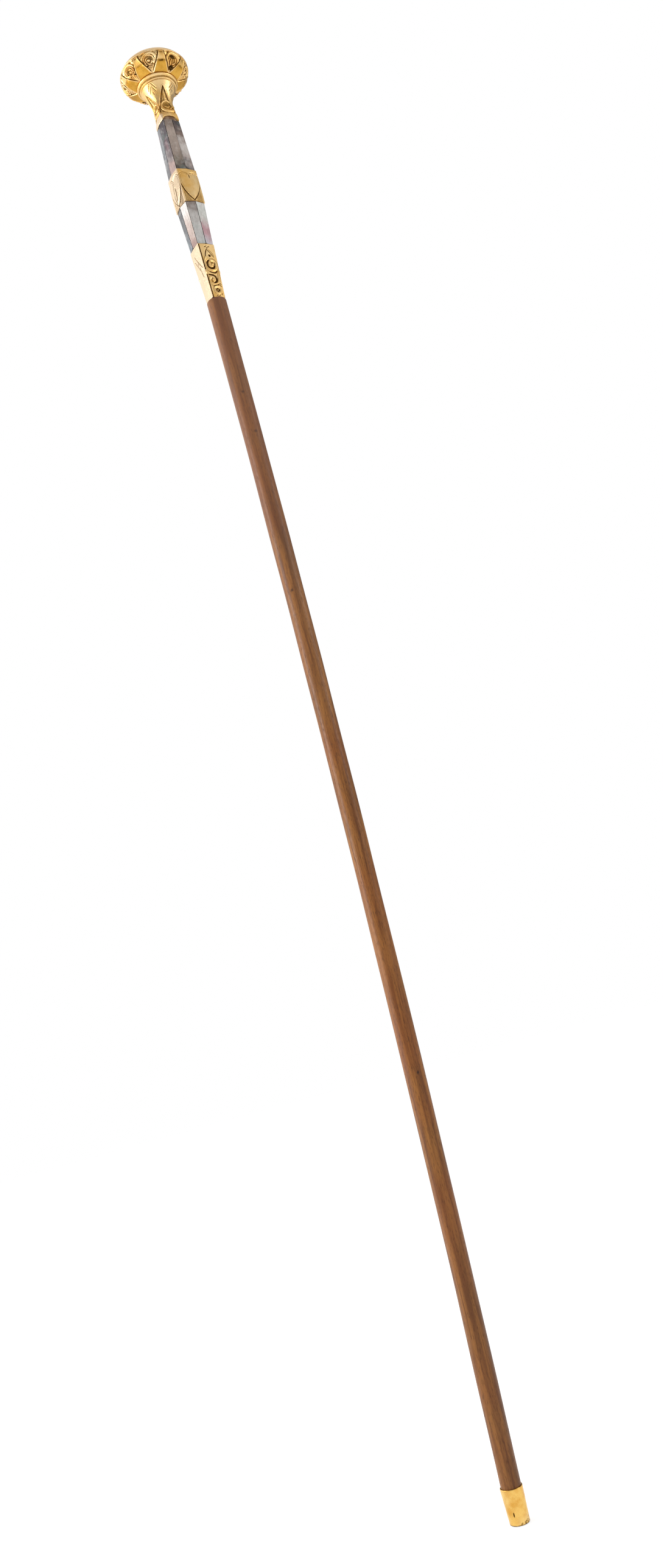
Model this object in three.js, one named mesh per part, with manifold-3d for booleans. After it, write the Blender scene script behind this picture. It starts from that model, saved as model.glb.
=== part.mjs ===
// A dress walking stick: a bowed hardwood shaft with a brass ferrule, and a gilt handle of chased collars,
// sixteen slips of mother-of-pearl and a round knob with eight smooth petals between eight scrolls.
import * as THREE from "three";
import { mergeVertices } from "three/addons/utils/BufferGeometryUtils.js";
import Module from "manifold-3d";

const wasm = await Module();
wasm.setup();

// Driving dimensions in millimetres. The tip of the ferrule is the origin and the stick rises along +Z.
const FERRULE_LENGTH = 18.4;
const FERRULE_MOUTH_RADIUS = 6.15;
const FERRULE_TOE_RADIUS = 5.4;
const FERRULE_WALL = 0.4;
const FERRULE_EDGE = 0.5;
const TIP_THICKNESS = 2.4;
const TIP_PROUD = 0.3;
const TIP_CHAMFER = 0.6;
const SPRIG_HEIGHT = 2;
const SPRIG_WIDTH = 0.7;
const SPRIG_LENGTH = 3.2;
const SPRIG_LEVEL = 6.2;
const SPRIG_SINK = 0.15;

const SHAFT_LENGTH = 701.6;
const SHAFT_FOOT_RADIUS = 5.55;
const SHAFT_TOP_RADIUS = 6.1;
const SHAFT_TOP_ROUND = 1.1;
const FOOT_TENON_RADIUS = 4.6;
const TOP_TENON_RADIUS = 3.5;
const TOP_TENON_LENGTH = 12.4;

const SOCKET_LENGTH = 36.8;
const SOCKET_FOOT_CORNER = 6.1;
const SOCKET_TOP_CORNER = 8;
const LOWER_PEARL_LENGTH = 29.4;
const BAND_LENGTH = 23.6;
const BAND_FOOT_CORNER = 9.8;
const BAND_TOP_CORNER = 9.65;
const BAND_SWELL = 0.15;
const UPPER_PEARL_LENGTH = 37.4;
const COLLAR_WALL = 0.8;

const PEARL_THICKNESS = 1.5;
const PEARL_SEAM = 0.25;
const LOWER_PEARL_FOOT_CORNER = 7.7;
const WAIST_PEARL_CORNER = 9.2;
const UPPER_PEARL_TOP_CORNER = 7.85;

const RIM_HEIGHT = 4.9;
const RIM_FOOT_CORNER = 8.1;
const RIM_TOP_CORNER = 7.9;
const RIM_ARCH = 2.75;
const NECK_LENGTH = 21.3;
const NECK_WAIST_LEVEL = 9;
const NECK_FOOT_CORNER = 7.7;
const NECK_WAIST_RADIUS = 6.7;
const NECK_TOP_RADIUS = 11.2;
const NECK_EYE_LEVEL = 5.8;
const NECK_EYE_ACROSS = 0.6;
const NECK_SCROLL_RADIUS = 3.2;
const RING_HEIGHT = 3.3;
const RING_RADIUS = 13.4;
const RING_BEAD = 0.7;

const KNOB_RADIUS = 22;
const KNOB_HALF_HEIGHT = 10;
const KNOB_MOUTH_RADIUS = 13.1;
const KNOB_WALL = 1.1;
const CROWN_LEVEL = 0.4;
const CROWN_LIP = 0.35;
const CROWN_WALL = 0.8;
const WHORL_LEVEL = 8.5;
const WHORL_WIDTH = 5.1;
const WHORL_HEIGHT = 4.1;

const SCREW_RADIUS = 2.2;
const SCREW_IN_SHAFT = 34;
const SCREW_IN_GRIP = 26;
const SCREW_POINT = 6;
const SCREW_TIP_RADIUS = 0.5;
const CORE_TENON_RADIUS = 4.2;
const CORE_TENON_LENGTH = 9;

// Clearances: glued joints, and the shoulders that close up against each other.
const GLUE_GAP = 0.15;
const BUTT_GAP = 0.1;
const CUT_OVERRUN = 0.5;

// Depths of the chased and embossed work.
const PETAL_RISE = 0.35;
const PANEL_SINK = 0.55;
const SCROLL_RISE = 1;
const EYE_DEPTH = 0.6;
const LEAF_RISE = 0.3;
const NECK_PANEL_SINK = 0.45;
const HEART_RISE = 0.3;
const GROUND_SINK = 0.3;
const CHASING_DEPTH = 0.3;

// Angles and shares.
const SHAFT_BOW = THREE.MathUtils.degToRad(2.65);
const BOW_TOWARDS = THREE.MathUtils.degToRad(-28);
const SPRIG_TOWARDS = THREE.MathUtils.degToRad(-144);
const KNOB_TURN = THREE.MathUtils.degToRad(11);
const RIM_TURN = THREE.MathUtils.degToRad(-3);
const NECK_TURN = THREE.MathUtils.degToRad(-10);
const PETALS = 8;
const FACES = 4;
const RIDGE_SHARE = 0.84;
const COLLAR_RIDGE_SHARE = 0.8;
const SOCKET_RIDGE_SHARE = 0.76;

const SMALL_ROUND_STEPS = 24;
const ROUND_STEPS = 32;
const COLLAR_STEPS = 40;

// Levels up the handle, from the shoulder of the shaft.
const SOCKET_TOP = SOCKET_LENGTH;
const BAND_FOOT = SOCKET_TOP + LOWER_PEARL_LENGTH;
const BAND_TOP = BAND_FOOT + BAND_LENGTH;
const RIM_FOOT = BAND_TOP + UPPER_PEARL_LENGTH;
const NECK_FOOT = RIM_FOOT + RIM_HEIGHT;
const RING_FOOT = NECK_FOOT + NECK_LENGTH;
const RING_TOP = RING_FOOT + RING_HEIGHT;
const KNOB_MOUTH_TILT = -Math.acos(KNOB_MOUTH_RADIUS / KNOB_RADIUS);
const CROWN_TILT = Math.asin(CROWN_LEVEL / KNOB_HALF_HEIGHT);
const KNOB_LEVEL = RING_TOP - KNOB_HALF_HEIGHT * Math.sin(KNOB_MOUTH_TILT);

// Materials.
const gilt = new THREE.MeshStandardMaterial({ color: 0xd8a94a, roughness: 0.28, metalness: 1 });
const brass = new THREE.MeshStandardMaterial({ color: 0xe0ac48, roughness: 0.35, metalness: 1 });
const iron = new THREE.MeshStandardMaterial({ color: 0x5a5652, roughness: 0.5, metalness: 1 });
const steel = new THREE.MeshStandardMaterial({ color: 0x8f8f92, roughness: 0.35, metalness: 1 });
const shaftWood = new THREE.MeshStandardMaterial({ color: 0x7a4a2e, roughness: 0.45, metalness: 0 });
const coreWood = new THREE.MeshStandardMaterial({ color: 0x2c1c14, roughness: 0.7, metalness: 0 });
const pearl = new THREE.MeshStandardMaterial({ color: 0xa39b98, roughness: 0.2, metalness: 0.1 });

const smooth = THREE.MathUtils.smoothstep;
const lerp = THREE.MathUtils.lerp;
const clamp = THREE.MathUtils.clamp;

// The unit direction at an angle round the stick.
const towards = (angle) => new THREE.Vector3(Math.cos(angle), Math.sin(angle), 0);

// A ring of points round the axis, at the angles given. Its radius and level may change with the angle.
function ring(angles, radiusAt, levelAt) {
  return angles.map((angle) => towards(angle).multiplyScalar(radiusAt(angle)).setZ(levelAt(angle)));
}
const evenly = (steps) => Array.from({ length: steps }, (_, i) => (2 * Math.PI * i) / steps);
const roundRing = (steps, radius, level) => ring(evenly(steps), () => radius, () => level);

// Angles that repeat a pattern of places, from -1 to 1 across each of the equal sides of a turn.
function patterned(sides, places) {
  const half = Math.PI / sides;
  return Array.from({ length: sides }, (_, side) => places.map((place) => half * (2 * side + place))).flat();
}

// A closed skin over a stack of rings. Rings of a tube run up outside and down inside and close on the first.
// Rings of a solid run from its foot to its top, and both ends are capped.
function skin(rings, isTube) {
  const steps = rings[0].length;
  const points = rings.flat();
  const index = [];
  const last = isTube ? rings.length : rings.length - 1;
  for (let row = 0; row < last; row++) {
    const above = (row + 1) % rings.length;
    for (let i = 0; i < steps; i++) {
      const next = (i + 1) % steps;
      const corners = [row * steps + i, row * steps + next, above * steps + next, above * steps + i];
      index.push(corners[0], corners[1], corners[2], corners[0], corners[2], corners[3]);
    }
  }
  if (!isTube) {
    const middle = (list) => list.reduce((sum, p) => sum.add(p), new THREE.Vector3()).divideScalar(steps);
    const foot = points.push(middle(rings[0])) - 1;
    const top = points.push(middle(rings.at(-1))) - 1;
    const topStart = (rings.length - 1) * steps;
    for (let i = 0; i < steps; i++) {
      const next = (i + 1) % steps;
      index.push(foot, next, i);
      index.push(top, topStart + i, topStart + next);
    }
  }
  return new THREE.BufferGeometry().setFromPoints(points).setIndex(index);
}
const tube = (rings) => skin(rings, true);
const solid = (rings) => skin(rings, false);

// Cuts one closed shape out of another.
function toManifold(geometry) {
  const bare = new THREE.BufferGeometry();
  bare.setAttribute("position", geometry.getAttribute("position"));
  bare.setIndex(geometry.index);
  const merged = mergeVertices(bare);
  const mesh = new wasm.Mesh({
    numProp: 3,
    vertProperties: merged.attributes.position.array,
    triVerts: new Uint32Array(merged.index.array),
  });
  return new wasm.Manifold(mesh);
}
function cut(body, ...tools) {
  const made = tools.reduce((left, tool) => left.subtract(toManifold(tool)), toManifold(body)).getMesh();
  const geometry = new THREE.BufferGeometry();
  geometry.setAttribute("position", new THREE.BufferAttribute(made.vertProperties, made.numProp));
  geometry.setIndex(new THREE.BufferAttribute(made.triVerts, 1));
  return geometry;
}

// The handle's section is a square whose sides rise to a low ridge: an octagon of eight slips, two a side.
// A section is given by its corner radius and its ridge radius.
const section = (corner, ridgeShare) => ({ corner, ridge: corner * ridgeShare });
function sideTilt({ corner, ridge }) {
  const half = corner * Math.SQRT1_2;
  return Math.atan2(ridge - half, half);
}
function inset(shape, wall) {
  const tilt = sideTilt(shape);
  return {
    corner: shape.corner - wall / Math.cos(Math.PI / FACES - tilt),
    ridge: shape.ridge - wall / Math.cos(tilt),
    round: shape.round,
  };
}
// The angle from the middle of the nearest side, from -45 to 45 degrees.
const offSide = (angle) => angle - Math.round(angle / (Math.PI / 2)) * (Math.PI / 2);
function sectionRadius(shape, angle) {
  const tilt = sideTilt(shape);
  const flat = (shape.ridge * Math.cos(tilt)) / Math.cos(Math.abs(offSide(angle)) - tilt);
  return lerp(flat, shape.corner, shape.round ?? 0);
}
const sectionRing = (angles, shape, level) => ring(angles, (a) => sectionRadius(shape, a), () => level);

// Ornament. A bump takes a place across and up from its middle, a ridge a distance and the distance of its
// middle. Both are 1 high there and fall to 0 at their edge.
const bump = (across, up, radius) => Math.max(0, 1 - (across * across + up * up) / (radius * radius));
const ridge = (distance, middle, half) => Math.max(0, 1 - ((distance - middle) / half) ** 2);

// The line of the shaft: an even bow that starts leaning one way and ends leaning the other, so that the
// middle of the knob stands over the tip.
const bowSide = towards(BOW_TOWARDS);
const lean = (angle) => bowSide.clone().multiplyScalar(Math.sin(angle)).setZ(Math.cos(angle));
const footLean = (SHAFT_BOW * (KNOB_LEVEL + SHAFT_LENGTH / 2)) / (KNOB_LEVEL + SHAFT_LENGTH);
const shaftFoot = new THREE.Vector3(0, 0, FERRULE_LENGTH);
const shaftElbow = shaftFoot.clone().addScaledVector(lean(footLean), SHAFT_LENGTH / 2);
const shaftTop = shaftElbow.clone().addScaledVector(lean(footLean - SHAFT_BOW), SHAFT_LENGTH / 2);
const shaftLine = new THREE.QuadraticBezierCurve3(shaftFoot, shaftElbow, shaftTop);

const up = new THREE.Vector3(0, 0, 1);
const handle = new THREE.Group();
handle.position.copy(shaftTop);
handle.quaternion.setFromUnitVectors(up, shaftLine.getTangent(1));
handle.updateMatrix();

const stick = new THREE.Group();
function add(parent, name, geometry, material) {
  const mesh = new THREE.Mesh(geometry, material);
  mesh.name = name;
  parent.add(mesh);
  return mesh;
}

// The ferrule: a tapered brass sleeve, a hard tip let into its toe and a flat sprig through its wall.
const ferruleRadius = (level) => lerp(FERRULE_TOE_RADIUS, FERRULE_MOUTH_RADIUS, level / FERRULE_LENGTH);
const ferruleBore = (level) => ferruleRadius(level) - FERRULE_WALL;
const tipTop = TIP_THICKNESS;

function sprigSlot(width, height, depth, sink) {
  const slot = new THREE.BoxGeometry(depth, width, height);
  const middle = ferruleRadius(SPRIG_LEVEL) - sink - depth / 2;
  return slot.translate(middle, 0, SPRIG_LEVEL).rotateZ(SPRIG_TOWARDS);
}
const sprigHole = sprigSlot(
  SPRIG_WIDTH + 2 * GLUE_GAP,
  SPRIG_HEIGHT + 2 * GLUE_GAP,
  SPRIG_LENGTH + GLUE_GAP + CUT_OVERRUN,
  -CUT_OVERRUN,
);

function ferruleSleeve() {
  const edge = FERRULE_EDGE;
  const toe = TIP_PROUD;
  const rows = [
    [ferruleRadius(toe) - edge * 0.7, toe],
    [ferruleRadius(toe) - edge * 0.2, toe + edge * 0.4],
    [ferruleRadius(toe + edge), toe + edge],
    [ferruleRadius(FERRULE_LENGTH), FERRULE_LENGTH],
    [ferruleBore(FERRULE_LENGTH), FERRULE_LENGTH],
    [ferruleBore(tipTop), tipTop],
    [ferruleRadius(toe) - edge * 0.7 - FERRULE_WALL * 0.6, toe],
  ];
  return cut(tube(rows.map(([radius, level]) => roundRing(ROUND_STEPS, radius, level))), sprigHole);
}
function ferruleTip() {
  const rim = ferruleRadius(TIP_PROUD) - FERRULE_EDGE * 0.7 - FERRULE_WALL * 0.6 - GLUE_GAP;
  return solid([
    roundRing(ROUND_STEPS, rim - TIP_CHAMFER, 0),
    roundRing(ROUND_STEPS, rim, TIP_CHAMFER),
    roundRing(ROUND_STEPS, rim, tipTop),
  ]);
}
add(stick, "ferrule_sleeve", ferruleSleeve(), brass);
add(stick, "ferrule_tip", ferruleTip(), iron);
add(stick, "ferrule_sprig", sprigSlot(SPRIG_WIDTH, SPRIG_HEIGHT, SPRIG_LENGTH, SPRIG_SINK), iron);

// The screw that joins shaft and grip, turned down to a point at both ends.
function dowelScrew() {
  const foot = -SCREW_IN_SHAFT;
  const top = TOP_TENON_LENGTH + SCREW_IN_GRIP;
  const rows = [
    [SCREW_TIP_RADIUS, foot],
    [SCREW_RADIUS, foot + SCREW_POINT],
    [SCREW_RADIUS, top - SCREW_POINT],
    [SCREW_TIP_RADIUS, top],
  ];
  return solid(rows.map(([radius, level]) => roundRing(SMALL_ROUND_STEPS, radius, level)));
}
const screwBore = (foot, top) =>
  solid([
    roundRing(SMALL_ROUND_STEPS, SCREW_RADIUS + GLUE_GAP, foot),
    roundRing(SMALL_ROUND_STEPS, SCREW_RADIUS + GLUE_GAP, top),
  ]);
add(handle, "dowel_screw", dowelScrew(), steel);

// The shaft: a tapered tenon in the ferrule, the bowed length, a rounded shoulder and a tenon in the socket.
function shaftSection(share, radius, level = 0) {
  const seat = new THREE.Matrix4().makeRotationFromQuaternion(
    new THREE.Quaternion().setFromUnitVectors(up, shaftLine.getTangent(share)),
  );
  seat.setPosition(shaftLine.getPoint(share));
  return roundRing(SMALL_ROUND_STEPS, radius, level).map((p) => p.applyMatrix4(seat));
}
function shaft() {
  const bodyRows = 14;
  const shoulderRows = 3;
  const foot = tipTop + BUTT_GAP;
  const rings = [
    roundRing(SMALL_ROUND_STEPS, FOOT_TENON_RADIUS - GLUE_GAP, foot),
    roundRing(SMALL_ROUND_STEPS, FOOT_TENON_RADIUS, foot + GLUE_GAP),
  ];
  for (let i = 0; i <= bodyRows; i++) {
    const share = (i / bodyRows) * (1 - (SHAFT_TOP_ROUND + BUTT_GAP) / SHAFT_LENGTH);
    rings.push(shaftSection(share, lerp(SHAFT_FOOT_RADIUS, SHAFT_TOP_RADIUS, share)));
  }
  for (let i = 1; i <= shoulderRows; i++) {
    const turn = ((i / shoulderRows) * Math.PI) / 2;
    const radius = SHAFT_TOP_RADIUS - SHAFT_TOP_ROUND * (1 - Math.cos(turn));
    rings.push(shaftSection(1, radius, SHAFT_TOP_ROUND * (Math.sin(turn) - 1) - BUTT_GAP));
  }
  rings.push(shaftSection(1, TOP_TENON_RADIUS, -BUTT_GAP));
  rings.push(shaftSection(1, TOP_TENON_RADIUS, TOP_TENON_LENGTH));
  const bore = screwBore(-SCREW_IN_SHAFT - GLUE_GAP, TOP_TENON_LENGTH + CUT_OVERRUN);
  return cut(solid(rings), bore.applyMatrix4(handle.matrix), sprigHole);
}
add(stick, "shaft", shaft(), shaftWood);

// The chased sleeves of the handle share one build: rows of rings outside, a plain bore inside. The places
// of the points across a side may follow the ornament from row to row, so that its edges stay crisp.
function chasedSleeve({ foot, top, rows, shapeAt, placesAt, reliefAt, wall, footAt = () => 0, isTurned }) {
  const levelOf = (share, angle) => lerp(foot + footAt(angle), top, share);
  const outside = Array.from({ length: rows + 1 }, (_, i) => {
    const share = i / rows;
    const shape = shapeAt(share);
    const radius = (angle) => sectionRadius(shape, angle) + reliefAt(angle, share);
    return ring(patterned(FACES, placesAt(share)), radius, (angle) => levelOf(share, angle));
  });
  const bore = [1, 0.5, 0].map((share) => {
    const shape = inset(shapeAt(share), wall);
    const angles = patterned(FACES, placesAt(share));
    return ring(angles, (angle) => sectionRadius(shape, angle), (angle) => levelOf(share, angle));
  });
  const rings = [...outside, ...bore];
  return tube(isTurned ? rings.map(turnedAtLevel) : rings);
}
// The rim and the neck stand turned against the grip: the rim grows into the turn and the neck keeps it.
const turnAt = (level) => lerp(RIM_TURN, NECK_TURN, clamp((level - RIM_FOOT) / RIM_HEIGHT, 0, 1));
const turnedAtLevel = (row) => row.map((p) => p.applyAxisAngle(up, turnAt(p.z)));
// The two opposite sides, of the four, that carry the volutes and the arches of the rim.
const isArchedSide = (angle) => Math.round(angle / (Math.PI / 2)) % 2 !== 0;
// How far across its side a point at this angle lies, and a fade that leaves the corners sharp.
const acrossSide = (angle, shape) => Math.sin(offSide(angle)) * sectionRadius(shape, angle);
const awayFromCorner = (angle) => 1 - smooth(Math.abs(offSide(angle)), Math.PI / 5, Math.PI / 4);
const evenPlaces = (count) => Array.from({ length: count }, (_, i) => (2 * i) / count - 1);

// Places across a side for a shape whose edge stands at a share of the half side, with a step at the edge.
const EDGE_STEP_SHARE = 0.09;
function edgedPlaces(edgeShare) {
  const inner = Math.max(edgeShare - EDGE_STEP_SHARE, edgeShare / 2);
  const half = [inner / 2, inner, edgeShare, (1 + edgeShare) / 2];
  return [-1, ...half.map((place) => -place).reverse(), 0, ...half];
}

// The socket collar: a row of three volutes on the front and back, a long leaf on the two other sides.
const VOLUTE_LEVEL_SHARES = [0.606, 0.313, 0.136];
const VOLUTE_SIZE_SHARES = [0.5, 0.45, 0.36];
const VOLUTE_RIDGE_SHARE = 0.6;
const DROP_LEVEL_SHARE = 0.78;
const DROP_SIZE_SHARE = 0.3;
const LEAF_FOOT_SHARE = 0.3;
const LEAF_TOP_SHARE = 0.98;
function socketShape(share) {
  return section(lerp(SOCKET_FOOT_CORNER, SOCKET_TOP_CORNER, share), SOCKET_RIDGE_SHARE);
}
function volutes(across, share) {
  const above = (levelShare) => (share - levelShare) * SOCKET_LENGTH;
  const heights = VOLUTE_LEVEL_SHARES.map((levelShare, i) => {
    const reach = Math.hypot(across, above(levelShare)) / (SOCKET_TOP_CORNER * VOLUTE_SIZE_SHARES[i]);
    return ridge(reach, VOLUTE_RIDGE_SHARE, 1 - VOLUTE_RIDGE_SHARE);
  });
  const drop = bump(across, above(DROP_LEVEL_SHARE) / 2, SOCKET_TOP_CORNER * DROP_SIZE_SHARE);
  return Math.max(drop, ...heights);
}
function longLeaf(across, share) {
  const leaf = Math.sin(Math.PI * smooth(share, LEAF_FOOT_SHARE, LEAF_TOP_SHARE));
  return Math.max(0, leaf - Math.abs(across) / (SOCKET_FOOT_CORNER / 2));
}
function socketRelief(angle, share) {
  const ornament = isArchedSide(angle) ? volutes : longLeaf;
  const height = ornament(acrossSide(angle, socketShape(share)), share);
  return (height - 0.5) * CHASING_DEPTH * awayFromCorner(angle);
}
const socketCollar = chasedSleeve({
  foot: 0,
  top: SOCKET_TOP - BUTT_GAP,
  rows: 16,
  shapeAt: socketShape,
  placesAt: () => evenPlaces(10),
  reliefAt: socketRelief,
  wall: COLLAR_WALL,
});
add(handle, "socket_collar", socketCollar, gilt);

// The heart band: a smooth heart on each side, standing on its tip over a sunk ground.
function bandShape(share) {
  const swell = BAND_SWELL * Math.sin(Math.PI * share);
  return section(lerp(BAND_FOOT_CORNER, BAND_TOP_CORNER, share) + swell, COLLAR_RIDGE_SHARE);
}
// Half the heart's width at each level, as a share of half the side: a rounded wedge under two lobes.
const HEART_TIP_SHARE = 0.055;
const HEART_WAIST_SHARE = 0.65;
const HEART_TOP_SHARE = 0.881;
const HEART_WIDTH_SHARE = 0.94;
const HEART_NOTCH_SHARE = 0.14;
const HEART_LOBE_SHARE = 0.55;
const BORDER_SHARE = 0.94;
function heartHalf(share) {
  const below = clamp((share - HEART_TIP_SHARE) / (HEART_WAIST_SHARE - HEART_TIP_SHARE), 0, 1);
  const above = clamp((share - HEART_WAIST_SHARE) / (HEART_TOP_SHARE - HEART_WAIST_SHARE), 0, 1);
  const wedge = 1 - (1 - below) ** 2;
  const lobes = 1 - HEART_LOBE_SHARE * (1 - Math.sqrt(1 - above ** 3));
  return Math.max(HEART_TIP_SHARE, HEART_WIDTH_SHARE * wedge * lobes);
}
function bandRelief(angle, share) {
  const place = Math.abs(offSide(angle)) / (Math.PI / FACES);
  const half = heartHalf(share);
  const inHeart = smooth(half - place, 0, EDGE_STEP_SHARE);
  const notch = bump(place, share - HEART_TOP_SHARE, HEART_NOTCH_SHARE);
  const heart = share > HEART_TIP_SHARE && share < HEART_TOP_SHARE ? inHeart * (1 - notch) : 0;
  const ends = smooth(share, 0, HEART_TIP_SHARE) * (1 - smooth(share, HEART_TOP_SHARE, BORDER_SHARE));
  return lerp(-GROUND_SINK * ends * awayFromCorner(angle), HEART_RISE, heart);
}
const heartBand = chasedSleeve({
  foot: BAND_FOOT + BUTT_GAP,
  top: BAND_TOP - BUTT_GAP,
  rows: 18,
  shapeAt: bandShape,
  placesAt: (share) => edgedPlaces(heartHalf(share)),
  reliefAt: bandRelief,
  wall: COLLAR_WALL,
});
add(handle, "heart_band", heartBand, gilt);

// The neck rim: a plain square band whose lower edge arches over the ends of the pearl on two sides.
const RIM_PLACE_SHARES = [-1, -0.9, -0.72, -0.4, 0, 0.4, 0.72, 0.9];
const RIM_ARCH_POWER = 3;
const rimShape = (share) => section(lerp(RIM_FOOT_CORNER, RIM_TOP_CORNER, share), COLLAR_RIDGE_SHARE);
function rimFootAt(angle) {
  const fall = Math.abs(Math.tan(offSide(angle))) ** RIM_ARCH_POWER;
  return isArchedSide(angle) ? RIM_ARCH * (1 - fall) : 0;
}
const neckRim = chasedSleeve({
  foot: RIM_FOOT + BUTT_GAP,
  top: NECK_FOOT - BUTT_GAP,
  rows: 1,
  shapeAt: rimShape,
  placesAt: () => RIM_PLACE_SHARES,
  reliefAt: () => 0,
  wall: COLLAR_WALL,
  footAt: rimFootAt,
  isTurned: true,
});
add(handle, "neck_rim", neckRim, gilt);

// The neck: square at its foot, drawn in to a waist and flared out round to the ring. Four smooth leaves hang
// down over the corners, and each side between them holds a sunk wedge with a volute at its foot.
const waistShare = NECK_WAIST_LEVEL / NECK_LENGTH;
const NECK_FLARE_POWER = 1.6;
const NECK_ROUND_SHARE = 0.75;
function neckShape(share) {
  const below = smooth(share, 0, waistShare);
  const flare = Math.max(0, (share - waistShare) / (1 - waistShare)) ** NECK_FLARE_POWER;
  const drawnIn = lerp(NECK_FOOT_CORNER, NECK_WAIST_RADIUS, below);
  const radius = drawnIn + (NECK_TOP_RADIUS - NECK_WAIST_RADIUS) * flare;
  return { ...section(radius, COLLAR_RIDGE_SHARE), round: smooth(share, 0, NECK_ROUND_SHARE) };
}
const WEDGE_FOOT_SHARE = 0.94;
const WEDGE_TOP_SHARE = 0.864;
const WEDGE_POINT_SHARE = 0.04;
const WEDGE_TURN_SHARE = 0.183;
const NECK_SCROLL_SHARE = 0.9;
function wedgeHalf(share) {
  const narrowing = (WEDGE_TOP_SHARE - share) / (WEDGE_TOP_SHARE - WEDGE_TURN_SHARE);
  return clamp(narrowing, WEDGE_POINT_SHARE, WEDGE_FOOT_SHARE);
}
function neckRelief(angle, share) {
  const shape = neckShape(share);
  const place = Math.abs(offSide(angle)) / (Math.PI / FACES);
  const inWedge = smooth(wedgeHalf(share) - place, 0, EDGE_STEP_SHARE);
  const ends = smooth(share, 0, WEDGE_POINT_SHARE) * (1 - smooth(share, WEDGE_TOP_SHARE, 1));
  const fromEye = acrossSide(angle, shape) - NECK_EYE_ACROSS;
  const reach = Math.hypot(fromEye, share * NECK_LENGTH - NECK_EYE_LEVEL) / NECK_SCROLL_RADIUS;
  const scroll = ridge(reach, NECK_SCROLL_SHARE, NECK_SCROLL_SHARE / 2);
  return lerp(LEAF_RISE, NECK_PANEL_SINK * (scroll - 1), inWedge) * ends;
}
const neckSleeve = chasedSleeve({
  foot: NECK_FOOT,
  top: RING_FOOT - BUTT_GAP,
  rows: 18,
  shapeAt: neckShape,
  placesAt: (share) => edgedPlaces(wedgeHalf(share)),
  reliefAt: neckRelief,
  wall: COLLAR_WALL + NECK_PANEL_SINK,
  isTurned: true,
});
add(handle, "neck_sleeve", neckSleeve, gilt);

// The ring soldered between neck and knob: a flared band with a bead at each edge.
function neckRing() {
  const bore = neckShape(1).corner - COLLAR_WALL - NECK_PANEL_SINK;
  const rows = [
    [NECK_TOP_RADIUS, RING_FOOT],
    [NECK_TOP_RADIUS + RING_BEAD, RING_FOOT + RING_BEAD / 2],
    [NECK_TOP_RADIUS + RING_BEAD, RING_FOOT + RING_BEAD],
    [lerp(NECK_TOP_RADIUS, RING_RADIUS, 0.4), RING_FOOT + RING_HEIGHT * 0.45],
    [RING_RADIUS - RING_BEAD / 2, RING_FOOT + RING_HEIGHT * 0.6],
    [RING_RADIUS, RING_TOP - RING_BEAD],
    [RING_RADIUS - RING_BEAD / 3, RING_TOP - BUTT_GAP],
    [bore, RING_TOP - BUTT_GAP],
    [bore, RING_FOOT],
  ];
  return tube(rows.map(([radius, level]) => roundRing(COLLAR_STEPS, radius, level)));
}
add(handle, "neck_ring", neckRing(), gilt);

// The knob below its crown: eight smooth petals spread up from the ring and narrow to the widest line, and a
// scroll curls in the sunk panel between each two. The skin is thin metal over a wooden core.
const knobRadius = (tilt, grow = 0) => (KNOB_RADIUS + grow) * Math.cos(tilt);
const knobLevel = (tilt, grow = 0) => KNOB_LEVEL + (KNOB_HALF_HEIGHT + grow) * Math.sin(tilt);
const sectorHalf = Math.PI / PETALS;
const knobSkirt = new THREE.EllipseCurve(0, 0, KNOB_RADIUS, KNOB_HALF_HEIGHT, KNOB_MOUTH_TILT, CROWN_TILT);
const PETAL_LENGTH = knobSkirt.getLength();
const PANEL_FOOT_SHARE = 0.05;
const PANEL_TOP_SHARE = 0.8;
const PANEL_SPREAD_POWER = 0.8;
const BODY_SHARE = 0.5;
const BODY_ROUND_SHARE = 0.2;
const WHORL_SHARE = 0.82;
const KNOB_END_SHARE = 0.06;
const PANEL_DEEP_SHARE = 0.3;
const INNER_PLACE_SHARES = [0.17, 0.5, 0.8, 1];
function panelHalf(share) {
  return lerp(PANEL_FOOT_SHARE, PANEL_TOP_SHARE, Math.sin((share * Math.PI) / 2) ** PANEL_SPREAD_POWER);
}
const panelInner = (edge) => edge - Math.min(EDGE_STEP_SHARE, edge / 3);
function knobPlaces(share) {
  const edge = panelHalf(share);
  const half = [...INNER_PLACE_SHARES.map((place) => place * panelInner(edge)), edge, (1 + edge) / 2];
  return [-1, ...half.map((place) => -place).reverse(), ...half];
}
function knobRelief(angle, share) {
  const turned = angle - KNOB_TURN;
  const offPanel = turned - Math.round(turned / (2 * sectorHalf)) * 2 * sectorHalf;
  const edge = panelHalf(share);
  const inner = panelInner(edge);
  const place = Math.abs(offPanel) / sectorHalf;
  const inPanel = smooth(edge - place, 0, edge - inner);
  const ends = smooth(share, 0, KNOB_END_SHARE) * (1 - smooth(share, 1 - KNOB_END_SHARE, 1));
  const across = knobRadius(lerp(KNOB_MOUTH_TILT, CROWN_TILT, share)) * offPanel;
  const reach = Math.hypot(across / WHORL_WIDTH, (PETAL_LENGTH * share - WHORL_LEVEL) / WHORL_HEIGHT);
  const whorl = ridge(reach, WHORL_SHARE, 1 - WHORL_SHARE + BODY_ROUND_SHARE / 2);
  const body = smooth(1 - place / inner, 0, BODY_ROUND_SHARE) * lerp(BODY_SHARE, 1, whorl);
  const scroll = SCROLL_RISE * body - EYE_DEPTH * bump(reach, 0, 1 / 2) - PANEL_SINK;
  return lerp(PETAL_RISE, scroll * smooth(share, 0, PANEL_DEEP_SHARE), inPanel) * ends;
}
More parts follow.
